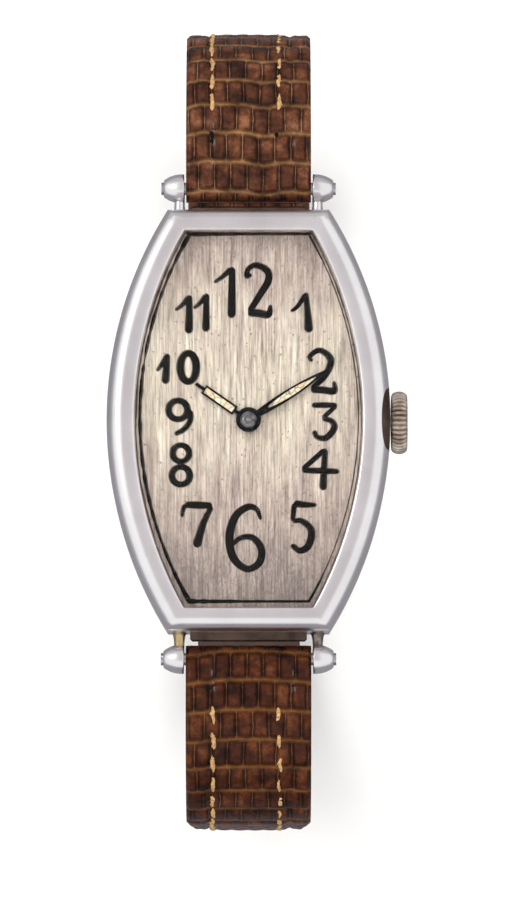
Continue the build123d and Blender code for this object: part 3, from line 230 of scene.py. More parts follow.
# Besides the stains, the distance from the middle darkens the dial towards its rim, most towards 12
# and 6.
middle = node("Mapping", {"Vector": where, "Location": (0.03, -0.08, 0), "Scale": (10, 25, 0)})
from_middle = node("VectorMath", {0: middle}, operation="LENGTH")
patch = grain(node, where, (420, 200, 200), detail=7, roughness=0.6)
far = node("Math", {0: patch, 1: 0.5, 2: from_middle}, operation="MULTIPLY_ADD")
age = node("ValToRGB", {"Fac": far}, [(0.26, "#fffdf8"), (0.54, "#d6c9cd"), (0.82, "#8a7f86")])
aged = node("Mix", {0: 0.85, 6: brushed, 7: age}, **multiplied)
dust = grain(node, where, (9000, 2600, 2600), detail=6, roughness=0.7)
dusty = node("Math", {0: far, 1: 0.4, 2: dust}, operation="MULTIPLY_ADD")
dirt = node("MapRange", {"Value": dusty, "From Min": 0.72, "From Max": 0.92, "To Max": 0.65})
dirty = node("Mix", {0: dirt, 6: aged, 7: linear("#574c4a")}, **colours)
specks = node("TexVoronoi", {"Vector": where, "Scale": 1700.0, "Randomness": 1.0})
size = grain(node, where, 700)
spots = node("Math", {0: specks, 1: size}, operation="DIVIDE")
spot = node("MapRange", {"Value": spots, "From Min": 0.14, "From Max": 0.34})
speckled = node("Mix", {0: spot, 6: linear("#6f5f55"), 7: dirty}, **colours)
finish(node, bump=(streaks, 0.000006), Base_Color=speckled, Metallic=0.3, Roughness=0.5)
print("the dial's finish has", len(aged_silver.node_tree.nodes), "nodes")

# %% [markdown]
# ### Paint, jewel and crystal
# The numerals are black enamel in engraved lines, matt with age. The hands hold old radium
# paint, cream with dark cracks 0.7 mm apart. Jewels are synthetic ruby, and the crystal is
# clear acrylic with faint scuffs. Flat colours would look like plastic, so each one drifts
# between two tones.

# %% Enamel, lume, ruby and acrylic
black_enamel, node, where = new_material("black_enamel")
pitted = grain(node, where, 1500, detail=6)
ink = node("ValToRGB", {"Fac": pitted}, [(0.3, "#030302"), (0.75, "#0e0c08")])
finish(node, bump=(pitted, 0.00002), Base_Color=ink, Roughness=0.6, Specular_IOR_Level=0.12)

old_lume, node, where = new_material("aged_lume")
cracks = node("TexVoronoi", {"Vector": where, "Scale": 1500.0}, feature="DISTANCE_TO_EDGE")
crack = node("MapRange", {"Value": cracks, "From Max": 0.07})
cream = node("ValToRGB", {"Fac": grain(node, where, 900)}, [(0.35, "#cdb68c"), (0.65, "#ebe3cf")])
cracked = node("Mix", {0: crack, 6: linear("#6b4a26"), 7: cream}, **colours)
finish(node, bump=(crack, 0.00002), Base_Color=cracked, Roughness=0.7)

ruby, node, where = new_material("synthetic_ruby")
depth = node("ValToRGB", {"Fac": grain(node, where, 2000)}, [(0.3, "#7a0a1c"), (0.7, "#c2304a")])
finish(node, Base_Color=depth, Roughness=0.08, IOR=1.77)

clear_acrylic, node, where = new_material("clear_acrylic")
haze = node("MapRange", {"Value": grain(node, where, 300), "To Min": 0.01, "To Max": 0.06})
finish(node, Base_Color=linear("#fbfbf8"), Roughness=haze, Transmission_Weight=1.0, IOR=1.49,
       Alpha=0.1)
print("the lume's finish has", len(old_lume.node_tree.nodes), "nodes")

# %% [markdown]
# ### Leather and thread
# The strap is lizard leather, dyed brown and glazed by hand. Its scales, 1.5 by 2.5 mm, are
# dark and a little shiny, and the creases between the rows have worn to a golden brown. Each
# scale is darkened towards its cracks and creases as painted shade. The cracks between the
# scales of a row are pale, partly from the leather's own colour and partly as painted glints.
# Voronoi cells would scatter the scales, but these lie in rows that follow the strap, so the
# strap's own map counts cells across it and rows along it. The distance to the nearest whole
# number is the distance to a crack or a crease, and the whole numbers themselves give each
# scale a tone of its own. The lining is plain calf, and the thread is waxed linen.

# %% Lizard leather
lizard, node, where = new_material("glazed_lizard_leather")
place = node("UVMap", uv_map="place")
bend = node("TexNoise", {"Vector": place, "Scale": 1.7, "Detail": 3.0})
moved = node("VectorMath", {0: bend.outputs["Color"], 1: (0.2, 0.06, 0.0), 2: place},
             operation="MULTIPLY_ADD")
parts = node("SeparateXYZ", {"Vector": moved})
to_crack = node("Math", {0: parts.outputs["X"], 1: 0.5}, operation="PINGPONG")
to_crease = node("Math", {0: parts.outputs["Y"], 1: 0.5}, operation="PINGPONG")
crack = node("MapRange", {"Value": to_crack, "From Max": 0.04})
crease = node("MapRange", {"Value": to_crease, "From Max": 0.13})
round_cell = node("MapRange", {"Value": to_crack, "From Max": 0.24},
                  interpolation_type="SMOOTHSTEP")
round_row = node("MapRange", {"Value": to_crease, "From Max": 0.2},
                 interpolation_type="SMOOTHSTEP")
height = node("Math", {0: round_cell, 1: round_row}, operation="MULTIPLY")
cell = node("VectorMath", {0: moved}, operation="FLOOR")
chance = node("TexWhiteNoise", {"Vector": cell}, noise_dimensions="2D")
patches = grain(node, where, 450, detail=8, roughness=0.7)
drift = node("Math", {0: chance, 1: 0.09, 2: patches}, operation="MULTIPLY_ADD")
hide = node("ValToRGB", {"Fac": drift},
            [(0.42, "#28130b"), (0.58, "#532d1a"), (0.76, "#87573b")])
# Painted shade: each scale is darkened towards its cracks and creases.
painted_crease_shade = node("ValToRGB", {"Fac": height}, [(0.0, "#8b837e"), (0.75, "#ffffff")])
scale = node("Mix", {0: 1.0, 6: hide, 7: painted_crease_shade}, **multiplied)
golden = node("ValToRGB", {"Fac": patches}, [(0.35, "#4c3018"), (0.66, "#966a42")])
creased = node("Mix", {0: crease, 6: golden, 7: scale}, **colours)
# The pale colour of the cracks is partly the leather's own and partly painted glints.
pale_cracks_and_painted_glints = node("ValToRGB", {"Fac": patches}, [(0.42, "#44291a"), (0.64, "#9a755a")])
cracked = node("Mix", {0: crack, 6: pale_cracks_and_painted_glints, 7: creased}, **colours)
# Painted light and shade: the half towards 6 o'clock is coloured a yellower, darker brown
# than the half towards 12 o'clock, which catches more of the light.
side_of_watch = node("SeparateXYZ", {"Vector": where})
upper = node("MapRange", {"Value": side_of_watch.outputs["Y"], "From Min": -0.02,
                          "From Max": 0.02})
painted_light_by_half = node("Mix", {0: upper, 6: linear("#d0b896"), 7: linear("#ffffff")}, **colours)
with_painted_light_by_half = node("Mix", {0: 1.0, 6: cracked, 7: painted_light_by_half}, **multiplied)
wrinkle = grain(node, where, 2600, detail=4)
relief = node("Math", {0: wrinkle, 1: 0.2, 2: height}, operation="MULTIPLY_ADD")
finish(node, bump=(relief, 0.00035), Base_Color=with_painted_light_by_half, Roughness=0.3, IOR=1.5,
       Specular_IOR_Level=0.08, Coat_Weight=0.16, Coat_Roughness=0.1)
print("the leather's finish has", len(lizard.node_tree.nodes), "nodes")

# %% Lining leather and thread
# Pores and twist are 0.3 mm and 0.25 mm apart, about twice the real ones, so that they show.
calf, node, where = new_material("smooth_calf_lining")
pores = grain(node, where, 3000)
tan = node("ValToRGB", {"Fac": grain(node, where, 250)}, [(0.3, "#33221a"), (0.7, "#4d372a")])
finish(node, bump=(pores, 0.00003), Base_Color=tan, Roughness=0.6)

linen, node, where = new_material("waxed_linen_thread")
twist = grain(node, where, 4000)
fibre = node("ValToRGB", {"Fac": twist}, [(0.3, "#8a6236"), (0.7, "#d3aa72")])
finish(node, bump=(twist, 0.00004), Base_Color=fibre, Roughness=0.8)
print("the thread's finish has", len(linen.node_tree.nodes), "nodes")

# %% [markdown]
# ## The barrel outline
# The case is a barrel: two long arcs of one radius and two straight ends. It could be a
# bevelled curve, but every piece of the case follows the same outline moved inwards. So one
# function gives the outline as a ring of points, with its corners at the same places in
# every ring, and rings joined through a profile give mitred corners, as on the real case.

# %% The ring
def ring(width, length, end_width, inset=0.0, side=56, end=20):
    """The outline moved inwards by inset. The side's radius is (L^2 / 4 + b^2) / 2b, with b
    half the difference of the widths; a side's points are equally spaced in angle."""
    b = (width - end_width) / 2
    radius = (length ** 2 / 4 + b ** 2) / (2 * b)
    centre = width / 2 - radius
    end_y = length / 2 - inset
    reach = np.arcsin(end_y / (radius - inset))
    turn = np.linspace(-reach, reach, side, endpoint=False)
    arc = np.column_stack([centre + (radius - inset) * np.cos(turn),
                           (radius - inset) * np.sin(turn)])
    end_x = centre + math.sqrt((radius - inset) ** 2 - end_y ** 2)
    top_x = np.linspace(end_x, -end_x, end, endpoint=False)
    top = np.column_stack([top_x, np.full(end, end_y)])
    return np.concatenate([arc, top, -arc, -top])


def stack(steps):
    """Rows of a grid from (ring, height) steps."""
    return np.stack([np.column_stack([outline, np.full(len(outline), height)])
                     for outline, height in steps])


# Each outline is its width, its length and the width of its ends.
case = (26.2, 39.0, 14.9)
opening = (20.94, 34.8, 11.8)
# The heights of the undersides of the back, the band and the bezel above the floor.
back_z, band_z, bezel_z = 40.535, 42.335, 45.935
outer, inner = ring(*case), ring(*opening)
print("bezel width", round(outer[28, 0] - inner[28, 0], 2), "mm at the side")

# %% [markdown]
# ## Bezel, band and back
# The bezel is a stamped frame, domed and polished: its outer edge rolls over quickly, and
# then it falls gently to the crystal. The band is the plain middle of the case, and the back
# is a shallow lid that is pressed on. Boxes with bevelled edges would be equally round
# everywhere, and these edges differ, so each piece is a profile carried round the ring.

# %% The domed bezel
# Across the bezel a share of 0 is the outer edge and 1 the crystal's edge.
roll = 0.6


def dome_height(share):
    """Up to the share roll, a quarter of an ellipse 1.45 mm high, sqrt(1 - (1 - s / roll)^2).
    Past it the height falls by 0.1 mm, as the square of the way to the crystal."""
    up = np.where(share < roll, np.sqrt(np.clip(1 - (1 - share / roll) ** 2, 0, 1)), 1)
    down = np.clip((share - roll) / (1 - roll), 0, 1) ** 2
    return bezel_z + 0.75 + 1.45 * up - 0.1 * down


shares = np.concatenate([roll * (1 - np.cos(np.linspace(0, math.pi / 2, 16))),
                         np.linspace(0.64, 0.95, 9)])
heights = dome_height(shares)
foot_z = bezel_z + 0.02
profile = [(outer, foot_z)]
profile += [(outer + s * (inner - outer), height) for s, height in zip(shares, heights)]
profile += [(outer + 0.985 * (inner - outer), heights[-1] - 0.12),
            (inner, heights[-1] - 0.35), (inner, bezel_z + 0.65), (inner, foot_z)]
bezel = surface("bezel_dome", stack(profile), "case", polished_chrome, crease=48)
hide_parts("bezel")
print("the bezel is highest at", round(heights.max(), 2), "mm above the floor")

# %% The band
# Insets of its broken edges, of the seat for the back and of the bore for the movement.
bevel, seat, bore = 0.12, 1.2, 2.2
ledge_z, dial_z = 44.935, 45.535
dial_seat = ring(*opening, -0.95)
band_steps = [(ring(*case, seat), band_z), (ring(*case, bevel), band_z),
              (outer, band_z + bevel), (outer, bezel_z - bevel),
              (ring(*case, bevel), bezel_z), (dial_seat, bezel_z),
              (dial_seat, dial_z), (ring(*case, bore), dial_z),
              (ring(*case, bore), ledge_z), (ring(*case, seat), ledge_z)]
band = surface("band_wall", stack(band_steps), "case", polished_chrome, crease=30)
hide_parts("case_band")
print("the band is", round(bezel_z - band_z, 2), "mm high")

# %% The back
# Its corner is a quarter of an ellipse, 0.9 by 0.7 mm, and a thin wall stands up inside the
# band. A ring shrunk almost to a point closes the floor of the lid on both sides.
middle, floor_z, wall_z = 0.01 * ring(*case, 4), back_z + 0.9, band_z + 0.5
wall_out, wall_in = ring(*case, 1.25), ring(*case, 1.85)
back_steps = [(middle, back_z)]
back_steps += [(share * ring(*case, seat), back_z) for share in (0.35, 0.7, 0.94)]
back_steps += [(ring(*case, 0.9 - 0.9 * math.sin(turn)), back_z + 0.7 * (1 - math.cos(turn)))
               for turn in np.linspace(0, math.pi / 2, 7)]
back_steps += [(outer, band_z - 0.06), (ring(*case, 0.06), band_z), (wall_out, band_z),
               (wall_out, wall_z), (wall_in, wall_z), (wall_in, floor_z), (middle, floor_z)]
back = surface("back_lid", stack(back_steps), "back", brushed_steel, close_u=False, crease=30)
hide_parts("case_back")
print("the back is", round(band_z - back_z, 2), "mm deep")

# %% The lips between the lugs
# The band carries a small ledge at each end, between the two posts. Its dark grey-brown is partly
# grime and partly painted shade of the gap between case and strap.
def rounded_bar(width, depth, height, centre, radius=0.25, corner=8):
    """A bar with rounded long edges: corner arcs of one radius in the YZ section, carried
    along X with a little chamfer at each end."""
    turn = (np.arange(4 * corner) + 0.5) * math.pi / (2 * corner)
    cos, sin = np.cos(turn), np.sin(turn)
    y = np.sign(cos) * (depth / 2 - radius) + radius * cos
    z = np.sign(sin) * (height / 2 - radius) + radius * sin
    half = width / 2
    rows = [np.column_stack([np.full(len(y), x), y * scale, z * scale])
            for x, scale in ((-half, 0.7), (0.2 - half, 1), (half - 0.2, 1), (half, 0.7))]
    return np.stack(rows) + np.asarray(centre)


# Dark nickel: partly grime, partly painted shade of the gap between case and strap.
lips = np.stack([rounded_bar(10.8, 1.3, 0.9, (0, end * 19.6, band_z + 0.45))
                 for end in (1, -1)])
lips_in_painted_shade = surface("band_lips_painted_shade", lips, "case", grime_and_painted_shade_nickel, close_u=False, crease=40)
print(len(lips), "lips")

# %% [markdown]
# ## Lugs
# Each lug is a thin post with a bullet-shaped finial, drilled for the strap bar. Both could
# be cylinders with some loop cuts, but the real ones are turned on a lathe, so both are a
# profile carried round an axis. The lower lugs show their age: one has lost its chrome down
# to the brass, the other is brown with tarnish.

# %% Turned finials and posts
def turned(profile, axis, centre, around=36):
    """Carries (distance, radius) points round an axis: the radius turns in the plane of the
    other two directions."""
    distance, radius = np.asarray(profile, dtype=float).T
    turn = np.linspace(0, 2 * math.pi, around, endpoint=False)
    along = np.repeat(distance[:, None], around, axis=1)
    first = radius[:, None] * np.cos(turn)
    second = radius[:, None] * np.sin(turn)
    order = {"X": (along, first, second), "Y": (second, along, first),
             "Z": (first, second, along)}[axis]
    return np.stack(order, axis=-1) + np.asarray(centre)


# The strap bar's place, and a post's place on the end of the case.
bar_y, bar_z = 21.9, 42.935
post_x, post_y = 6.4, 19.48
# The finial: a flat face by the strap, a side that narrows as t^2.4, and a small flat tip.
bullet = [(5.98, 0.6), (5.98, 1.3), (6.02, 1.35)]
bullet += [(6.04 + 1.72 * t, 1.36 - 0.5 * t ** 2.4) for t in np.linspace(0, 1, 14)]
bullet += [(7.83, 0.8), (7.87, 0.72), (7.88, 0.58)]
# The post: a flared foot on the case and a slender waist.
post = [(0, 0.75), (0.12, 0.64), (0.35, 0.54), (0.9, 0.48), (1.5, 0.47), (2.2, 0.5)]
for label, side_x, side_y, look in (("12_left", -1, 1, polished_chrome),
                                    ("12_right", 1, 1, polished_chrome),
                                    ("6_left", -1, -1, exposed_brass),
                                    ("6_right", 1, -1, tarnished_chrome)):
    half = turned(np.asarray(bullet) * (side_x, 1), "X", (0, side_y * bar_y, bar_z))
    finial = surface(f"finial_{label}", half, "case", polished_chrome, close_u=False, crease=38)
    stem = turned(np.asarray(post) * (side_y, 1), "Y",
                  (side_x * post_x, side_y * post_y, bar_z), 24)
    foot = surface(f"post_{label}", stem, "case", look, close_u=False)
    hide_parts(f"lug_{label}")
print("the strap bars are", 2 * bar_y, "mm apart")

# %% [markdown]
# ## Crown
# The crown is a domed button of nickel, cut with 36 narrow valleys, so that the ridges
# between them are round like the strands of a rope. An array of boxes cut out of a cylinder
# would leave sharp ridges. So the radius itself dips 36 times a turn, and the dips fade out
# where the crown gets narrower, towards its edges and its face.

# %% The fluted crown
crown_x, stem_z, flutes = 13.2, 43.535, 36
edge = np.linspace(0, math.pi / 2, 9)
# (distance from crown_x, radius): the hollow under the crown, its domed side and its face.
crown_profile = [(0.6, 0.46), (0.6, 1.5), (0.0, 1.6), (0.0, 2.2)]
crown_profile += [(0.75 - 0.75 * math.cos(a), 2.32 + 0.58 * math.sin(a) ** 0.8) for a in edge]
crown_profile += [(0.75 + 0.75 * math.sin(a), 2.32 + 0.58 * math.cos(a) ** 0.8)
                  for a in edge[1:]]
crown_profile += [(1.5, 2.2), (1.48, 1.2), (1.45, 0.4), (1.44, 0.02)]
distance, radius = np.asarray(crown_profile).T
turn = np.linspace(0, 2 * math.pi, flutes * 8, endpoint=False)
# 1 in the middle of a valley, and 1 - |sin|^0.7 beside it.
flute = 1 - np.abs(np.sin(flutes / 2 * turn)) ** 0.7
dip = 0.26 * smooth_steps(2.2, 2.5, radius)[:, None] * flute
fluted = radius[:, None] - dip
grid = np.stack([np.repeat(crown_x + distance[:, None], len(turn), axis=1),
                 fluted * np.cos(turn), stem_z + fluted * np.sin(turn)], axis=-1)
crown = surface("fluted_crown", grid, "crown", worn_nickel, close_u=False, crease=50)
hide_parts("crown")
print("the crown is", round(2 * radius.max(), 1), "mm across")

# %% The painted shade and reflection beside the crown
# A dark sliver on the bezel beside the crown is painted shade and reflection of the crown. It
# is a sliver of the same dome, a hair above it: across the bezel it runs from the outer edge
# to a half ellipse.
crown_reflection_reach = 2.9
along_y = np.linspace(-1, 1, 41)
share = 0.012 + 0.3 * np.outer(np.linspace(0, 1, 9),
                               np.sqrt(np.clip(1 - along_y ** 2, 0.002, 1)))
outer_x = np.interp(crown_reflection_reach * along_y, outer[:56, 1], outer[:56, 0])
inner_x = np.interp(crown_reflection_reach * along_y, inner[:56, 1], inner[:56, 0])
under = np.stack([outer_x + share * (inner_x - outer_x), crown_reflection_reach * along_y + 0 * share,
                  dome_height(share) - 0.03], axis=-1)
skin = np.concatenate([under + (0.012, 0, 0.045), under[::-1]], axis=0)
painted_crown_reflection = surface("crown_painted_shade_and_reflection", skin, "case", grime_and_painted_shade_nickel, close_v=False, crease=60)
print("the grime is", 2 * crown_reflection_reach, "mm long")

# %% [markdown]
# ## Numerals and frame line
# The numerals and the line round the dial are engraved and filled with enamel. A font would
# be too even for this hand, so each stroke is a centreline with a width at each point: a
# smooth curve through a few places, and a low rounded ribbon along it. The frame line is
# thick on the left and thin on the right.

# %% Strokes
dial_top, pixel, hub = 45.885, 0.0923, (248.2, 420.5)


def on_dial(points):
    """Places read from the photograph in pixels, in millimetres from the hands' axis."""
    return (np.asarray(points, dtype=float) - hub) * (pixel, -pixel)


def curve_through(points, steps=10):
    """A Catmull-Rom curve: each stretch is a cubic whose end directions are half the line
    between its two neighbours. The ends are mirrored to get a neighbour."""
    longer = np.concatenate([2 * points[:1] - points[1:2], points,
                             2 * points[-1:] - points[-2:-1]])
    t = np.linspace(0, 1, steps, endpoint=False)[:, None, None]
    a, b, c, d = longer[:-3], longer[1:-2], longer[2:-1], longer[3:]
    cubic = 0.5 * (2 * b + (c - a) * t + (2 * a - 5 * b + 4 * c - d) * t ** 2
                   + (3 * b - a - 3 * c + d) * t ** 3)
    return np.concatenate([cubic.transpose(1, 0, 2).reshape(-1, points.shape[1]), points[-1:]])


def ribbon(points, closed=False, height=0.035):
    """A stroke from (x, y, width) rows: its section is half an ellipse, and its open ends
    are rounded by a width that falls as a circle does."""
    xy, width = points[:, :2], points[:, 2].copy()
    if closed:
        ahead = np.roll(xy, -1, axis=0) - np.roll(xy, 1, axis=0)
    else:
        ahead = np.gradient(xy, axis=0)
        run = np.concatenate([[0], np.cumsum(np.linalg.norm(np.diff(xy, axis=0), axis=1))])
        to_end = np.minimum(run, run[-1] - run)
        share = np.clip(to_end / (width / 2), 0.05, 1)
        width = width * np.sqrt(1 - (1 - share) ** 2)
    side = np.column_stack([-ahead[:, 1], ahead[:, 0]]) / np.linalg.norm(ahead, axis=1)[:, None]
    angle = np.linspace(0, math.pi, 7)
    offset = np.cos(angle)[None, :, None] * side[:, None] * width[:, None, None] / 2
    z = dial_top + 0.002 + height * np.sin(angle)[None] * np.ones((len(xy), 1))
    return np.concatenate([xy[:, None] + offset, z[..., None]], axis=-1)


print("a pixel of the photograph is", pixel, "mm on the dial")

# %% The twelve hours, one stroke a row
# A stroke is (x, y, width) rows in pixels. rings are ovals of (x, y, half width, half
# height, stroke width).
strokes = {
    "12": [[(213.7, 281.6, 3), (222, 276, 4.5), (231.2, 267.5, 6)],
           [(231.8, 266, 6), (231.6, 290, 7), (231.2, 317.5, 8)],
           [(251.5, 273.5, 3.5), (246.5, 275, 5), (248.5, 267.5, 5), (256.5, 264.3, 6),
            (267, 270, 7), (268, 280, 7), (260.3, 293, 6.5), (248.9, 311.5, 6)],
           [(247.5, 312.5, 6.5), (258, 312.5, 7.5), (268, 313.7, 7), (270.6, 304, 3)]],
    "11": [[(174.8, 309.8, 3), (182, 304, 4.5), (188.9, 296, 6)],
           [(188.9, 294.5, 6), (188.8, 314, 7), (188.4, 333, 8.5)],
           [(193.2, 307.8, 3), (200, 302, 4.5), (206.1, 294, 5.5)],
           [(206.2, 292.7, 5.5), (205.8, 312, 6.5), (205.5, 331.2, 7.5)]],
    "1": [[(290.5, 310.7, 3), (297, 306, 4), (305.5, 293.5, 5)],
          [(305.5, 291.7, 5), (307.5, 312, 6.5), (308.6, 332, 9)]],
    "2": [[(311.9, 361.3, 3.5), (309.8, 355.8, 4.5), (319.7, 350, 5.5), (330.6, 359.5, 7),
           (325, 375, 6), (311, 389.3, 5)],
          [(310.5, 389.8, 5.5), (322, 389.8, 7), (334, 390.6, 6.5), (333.6, 380.8, 3)]],
    "3": [[(311.5, 405.3, 5), (324, 405, 5.5), (337, 405.4, 5)],
          [(336.2, 405.6, 4), (329, 412, 4.5), (322.6, 418.7, 5)],
          [(322, 418.5, 4.5), (331, 421, 5.5), (334, 428, 6.5), (326, 437.8, 6),
           (317, 437, 5), (313.5, 430.5, 5)]],
    "4": [[(324.6, 449.6, 5), (313, 460, 5), (302.2, 469.6, 5)],
          [(301.5, 470.5, 5), (320, 471, 6), (339, 471.8, 5)],
          [(324.8, 448.6, 5.5), (323.6, 470, 6.5), (322.6, 490.5, 7.5)]],
    "5": [[(293.5, 503.6, 7), (304, 505, 6), (316.5, 505.3, 3.5)],
          [(294.2, 503.6, 5), (293.2, 512, 5), (292.4, 521.6, 4.5)],
          [(292.2, 521.8, 4), (301.5, 521.4, 5.5), (311, 531, 7), (308, 546, 7),
           (299.5, 551, 6), (291, 545, 5)]],
    "6": [[(260.5, 520, 3), (256.5, 510, 5), (247.5, 507.3, 6.5), (235, 517, 7.5),
           (229.2, 537, 8), (233, 558, 7.5), (246.7, 569.4, 6.5), (259, 563, 7),
           (261, 549, 7), (252, 538, 6), (240, 538.5, 5), (231.2, 546, 4)]],
    "7": [[(181.6, 517.5, 3), (183, 510, 4.5), (185.4, 504.6, 5.5)],
          [(184.5, 505, 6), (198, 505.5, 7), (212, 506, 6)],
          [(211.6, 506.3, 5), (203, 524, 6.5), (196, 547.8, 9)]],
    "9": [[(190.2, 410, 5), (190, 420, 5.5), (184, 429, 5.5), (174.3, 434.6, 4.5)]],
    "10": [[(156.3, 371, 3), (161, 364.5, 4.5), (166.9, 354.6, 5.5)],
           [(167, 353.2, 5.5), (166, 368, 7), (165, 383.7, 8)]],
}
rings = {"8": [(180.6, 453.5, 8.2, 8.2, 6), (180.6, 475.9, 8.9, 8.9, 6.4)],
         "9": [(177.7, 409.9, 9.4, 9.4, 6.4)], "10": [(188, 367.1, 8.0, 14.2, 7.4)]}


def sized(points):
    """Stroke rows with their places and widths turned from pixels to millimetres."""
    curve = curve_through(np.asarray(points, dtype=float))
    return np.column_stack([on_dial(curve[:, :2]), curve[:, 2] * pixel * 1.08])


def oval(x, y, half_width, half_height, width, around=48):
    """A closed stroke round an ellipse, a little thicker at its sides."""
    turn = np.linspace(0, 2 * math.pi, around, endpoint=False)
    places = on_dial(np.column_stack([x + half_width * np.cos(turn),
                                      y + half_height * np.sin(turn)]))
    return np.column_stack([places, width * pixel * (1.06 + 0.08 * np.cos(2 * turn))])


def join(name, parts, body, material):
    """Makes one mesh of several grids of different sizes."""
    pieces = [surface(f"{name}_{number}", grid, body, material, close_u=closed)
              for number, (grid, closed) in enumerate(parts)]
    if len(pieces) > 1:
        with bpy.context.temp_override(active_object=pieces[0], selected_editable_objects=pieces):
            bpy.ops.object.join()
    pieces[0].name = name
    return pieces[0]


hours = sorted(set(strokes) | set(rings), key=int)
for hour in hours:
    parts = [(ribbon(sized(points)), False) for points in strokes.get(hour, [])]
    parts += [(ribbon(oval(*places), closed=True), True) for places in rings.get(hour, [])]
    numeral = join(f"numeral_{hour}", parts, "case", black_enamel)
print("numerals", *hours)

# %% The frame line, and the dirt and painted shade round the dial
# The line follows the barrel outline just inside the opening. Its width, in millimetres,
# grows to the left and at both ends, and seeded noise makes it rough, as old engraving is.
line_ring = ring(20.17, 34.05, 11.0, side=140, end=60)
line_centre = np.asarray([0.06, 0.28])
left = smooth_steps(-2, 8, -line_ring[:, 0])
top = smooth_steps(14, 16, line_ring[:, 1])
low = smooth_steps(14, 16, -line_ring[:, 1])
rough = np.convolve(rng.normal(size=len(line_ring)), np.ones(3) / 3, mode="same")
line_width = 0.12 + 0.2 * left + 0.1 * top + 0.14 * low + 0.08 * rough * (0.3 + left)
line_points = np.column_stack([line_ring + line_centre, np.clip(line_width, 0.06, 0.5)])
frame_line = surface("frame_line", ribbon(line_points, closed=True, height=0.02), "case",
                     black_enamel)
# A dark ring at the crystal's edge is partly dirt and partly painted shade of the gap between bezel
# and dial.
shade_and_dirt_ring = ring(*opening, 0.06, side=140, end=60)
patchy = np.convolve(rng.normal(size=len(shade_and_dirt_ring)), np.ones(9) / 3, mode="same")
shade_and_dirt_points = np.column_stack([shade_and_dirt_ring, np.clip(0.12 + 0.05 * patchy, 0.06, 0.24)])
shade_and_dirt_line = surface("dirt_and_painted_shade_round_dial", ribbon(shade_and_dirt_points, closed=True, height=0.2), "case",
                    grime_and_painted_shade_nickel)
print("the frame line is", *line_points[[70, 270], 2].round(2), "mm wide at right and left")

# %% The boss of the hands
# A blackened rim and a paler turned cap with two grooves cover the hole of the minute hand.
# Each profile is (height, radius) from its outer edge to the axis.
boss_z = 46.72
rim_profile = [(0, 0.5), (0, 1.12), (0.1, 1.16), (0.2, 1.04), (0.2, 0.86), (0.1, 0.8),
               (0.1, 0.5)]
boss_profile = [(0.05, 0.5), (0.1, 0.76), (0.2, 0.76), (0.14, 0.68), (0.14, 0.64),
                (0.22, 0.58), (0.26, 0.42), (0.2, 0.36), (0.2, 0.3), (0.3, 0.26),
                (0.38, 0.16), (0.4, 0.04)]
for name, boss_part, look in (("hand_boss_rim", rim_profile, blackened_steel),
                              ("hand_boss", boss_profile, oxidised_steel)):
    boss = surface(name, turned(boss_part, "Z", (0, 0, boss_z), 48), "minute", look,
                   close_u=False, crease=30)
print("the boss is", 2 * max(radius for _, radius in rim_profile), "mm across")

# %% [markdown]
# ## Strap
# Each half is padded lizard leather over a thin calf lining, stitched along its edges. It
# could be a subdivided box bent by a curve, but the real one follows a path and has an even
# section, so it is a section carried along straights and arcs. Rows of scales lie across
# it: each row is a low swell with a crease between, and short cells break it up. The
# leather is padded, but it is too thin and firm to sag, so no cloth simulation is needed.

# %% The path
def path_at(start, heading, legs, distance):
    """Where a path of straights and arcs is at each distance, and its direction there. A leg
    is (length, 0) or (radius, degrees), and along an arc the direction turns by distance /
    radius. Before the start the path runs straight back."""
    y, z = start
    angle = math.radians(heading)
    at = np.zeros((len(distance), 2))
    direction = np.full(len(distance), angle)
    before = distance < 0
    at[before] = np.column_stack([y + distance[before] * math.cos(angle),
                                  z + distance[before] * math.sin(angle)])
    travelled = 0.0
    for number, (size, turn) in enumerate(legs):
        length = size if turn == 0 else size * math.radians(abs(turn))
        last = number == len(legs) - 1
        here = (distance >= travelled) & ((distance <= travelled + length) | last)
        d = distance[here] - travelled
        if turn == 0:
            at[here] = np.column_stack([y + d * math.cos(angle), z + d * math.sin(angle)])
            direction[here] = angle
            y, z = y + size * math.cos(angle), z + size * math.sin(angle)
        else:
            way = 1 if turn > 0 else -1
            centre = (y - way * size * math.sin(angle), z + way * size * math.cos(angle))
            now = angle + way * d / size
            at[here] = np.column_stack([centre[0] + way * size * np.sin(now),
                                        centre[1] - way * size * np.cos(now)])
            direction[here] = now
            angle = angle + math.radians(turn)
            y = centre[0] + way * size * math.sin(angle)
            z = centre[1] - way * size * math.cos(angle)
        travelled += length
    return at, direction


# The 6 o'clock half goes over its bar, down, round under the case and ends in a pointed
# tail. The 12 o'clock half goes down and ends in the buckle, just above the floor.
arch_6, arch_12 = 10.36, 10.9
legs_6 = [(arch_6, 110), (8.0, 0), (24.0, 90), (14.3, 0)]
length_6 = arch_6 * math.radians(110) + 8.0 + 24.0 * math.radians(90) + 14.3
half_turn = math.radians(45)
lower = (bar_z - 1.2 - arch_12 * math.cos(math.radians(20)) - 16 * math.sin(half_turn)
         - 12 * math.sin(half_turn) - 8 * (1 - math.cos(half_turn)))
legs_12 = [(arch_12, -110), (lower, 0), (16.0, -45), (12.0, 0), (8.0, -45), (1.5, 0)]
length_12 = arch_12 * math.radians(110) + lower + 24 * half_turn + 12 + 1.5
# Each half: its start, its heading, its legs, its length, and the side of the path that
# faces outwards.
halves = {"6": ((-bar_y, bar_z), 160, legs_6, length_6, -1),
          "12": ((bar_y, bar_z), 20, legs_12, length_12, 1)}
buckle_at, _ = path_at((bar_y, bar_z), 20, legs_12, np.asarray([length_12]))
print("strap halves", round(length_12, 1), "and", round(length_6, 1), "mm long")


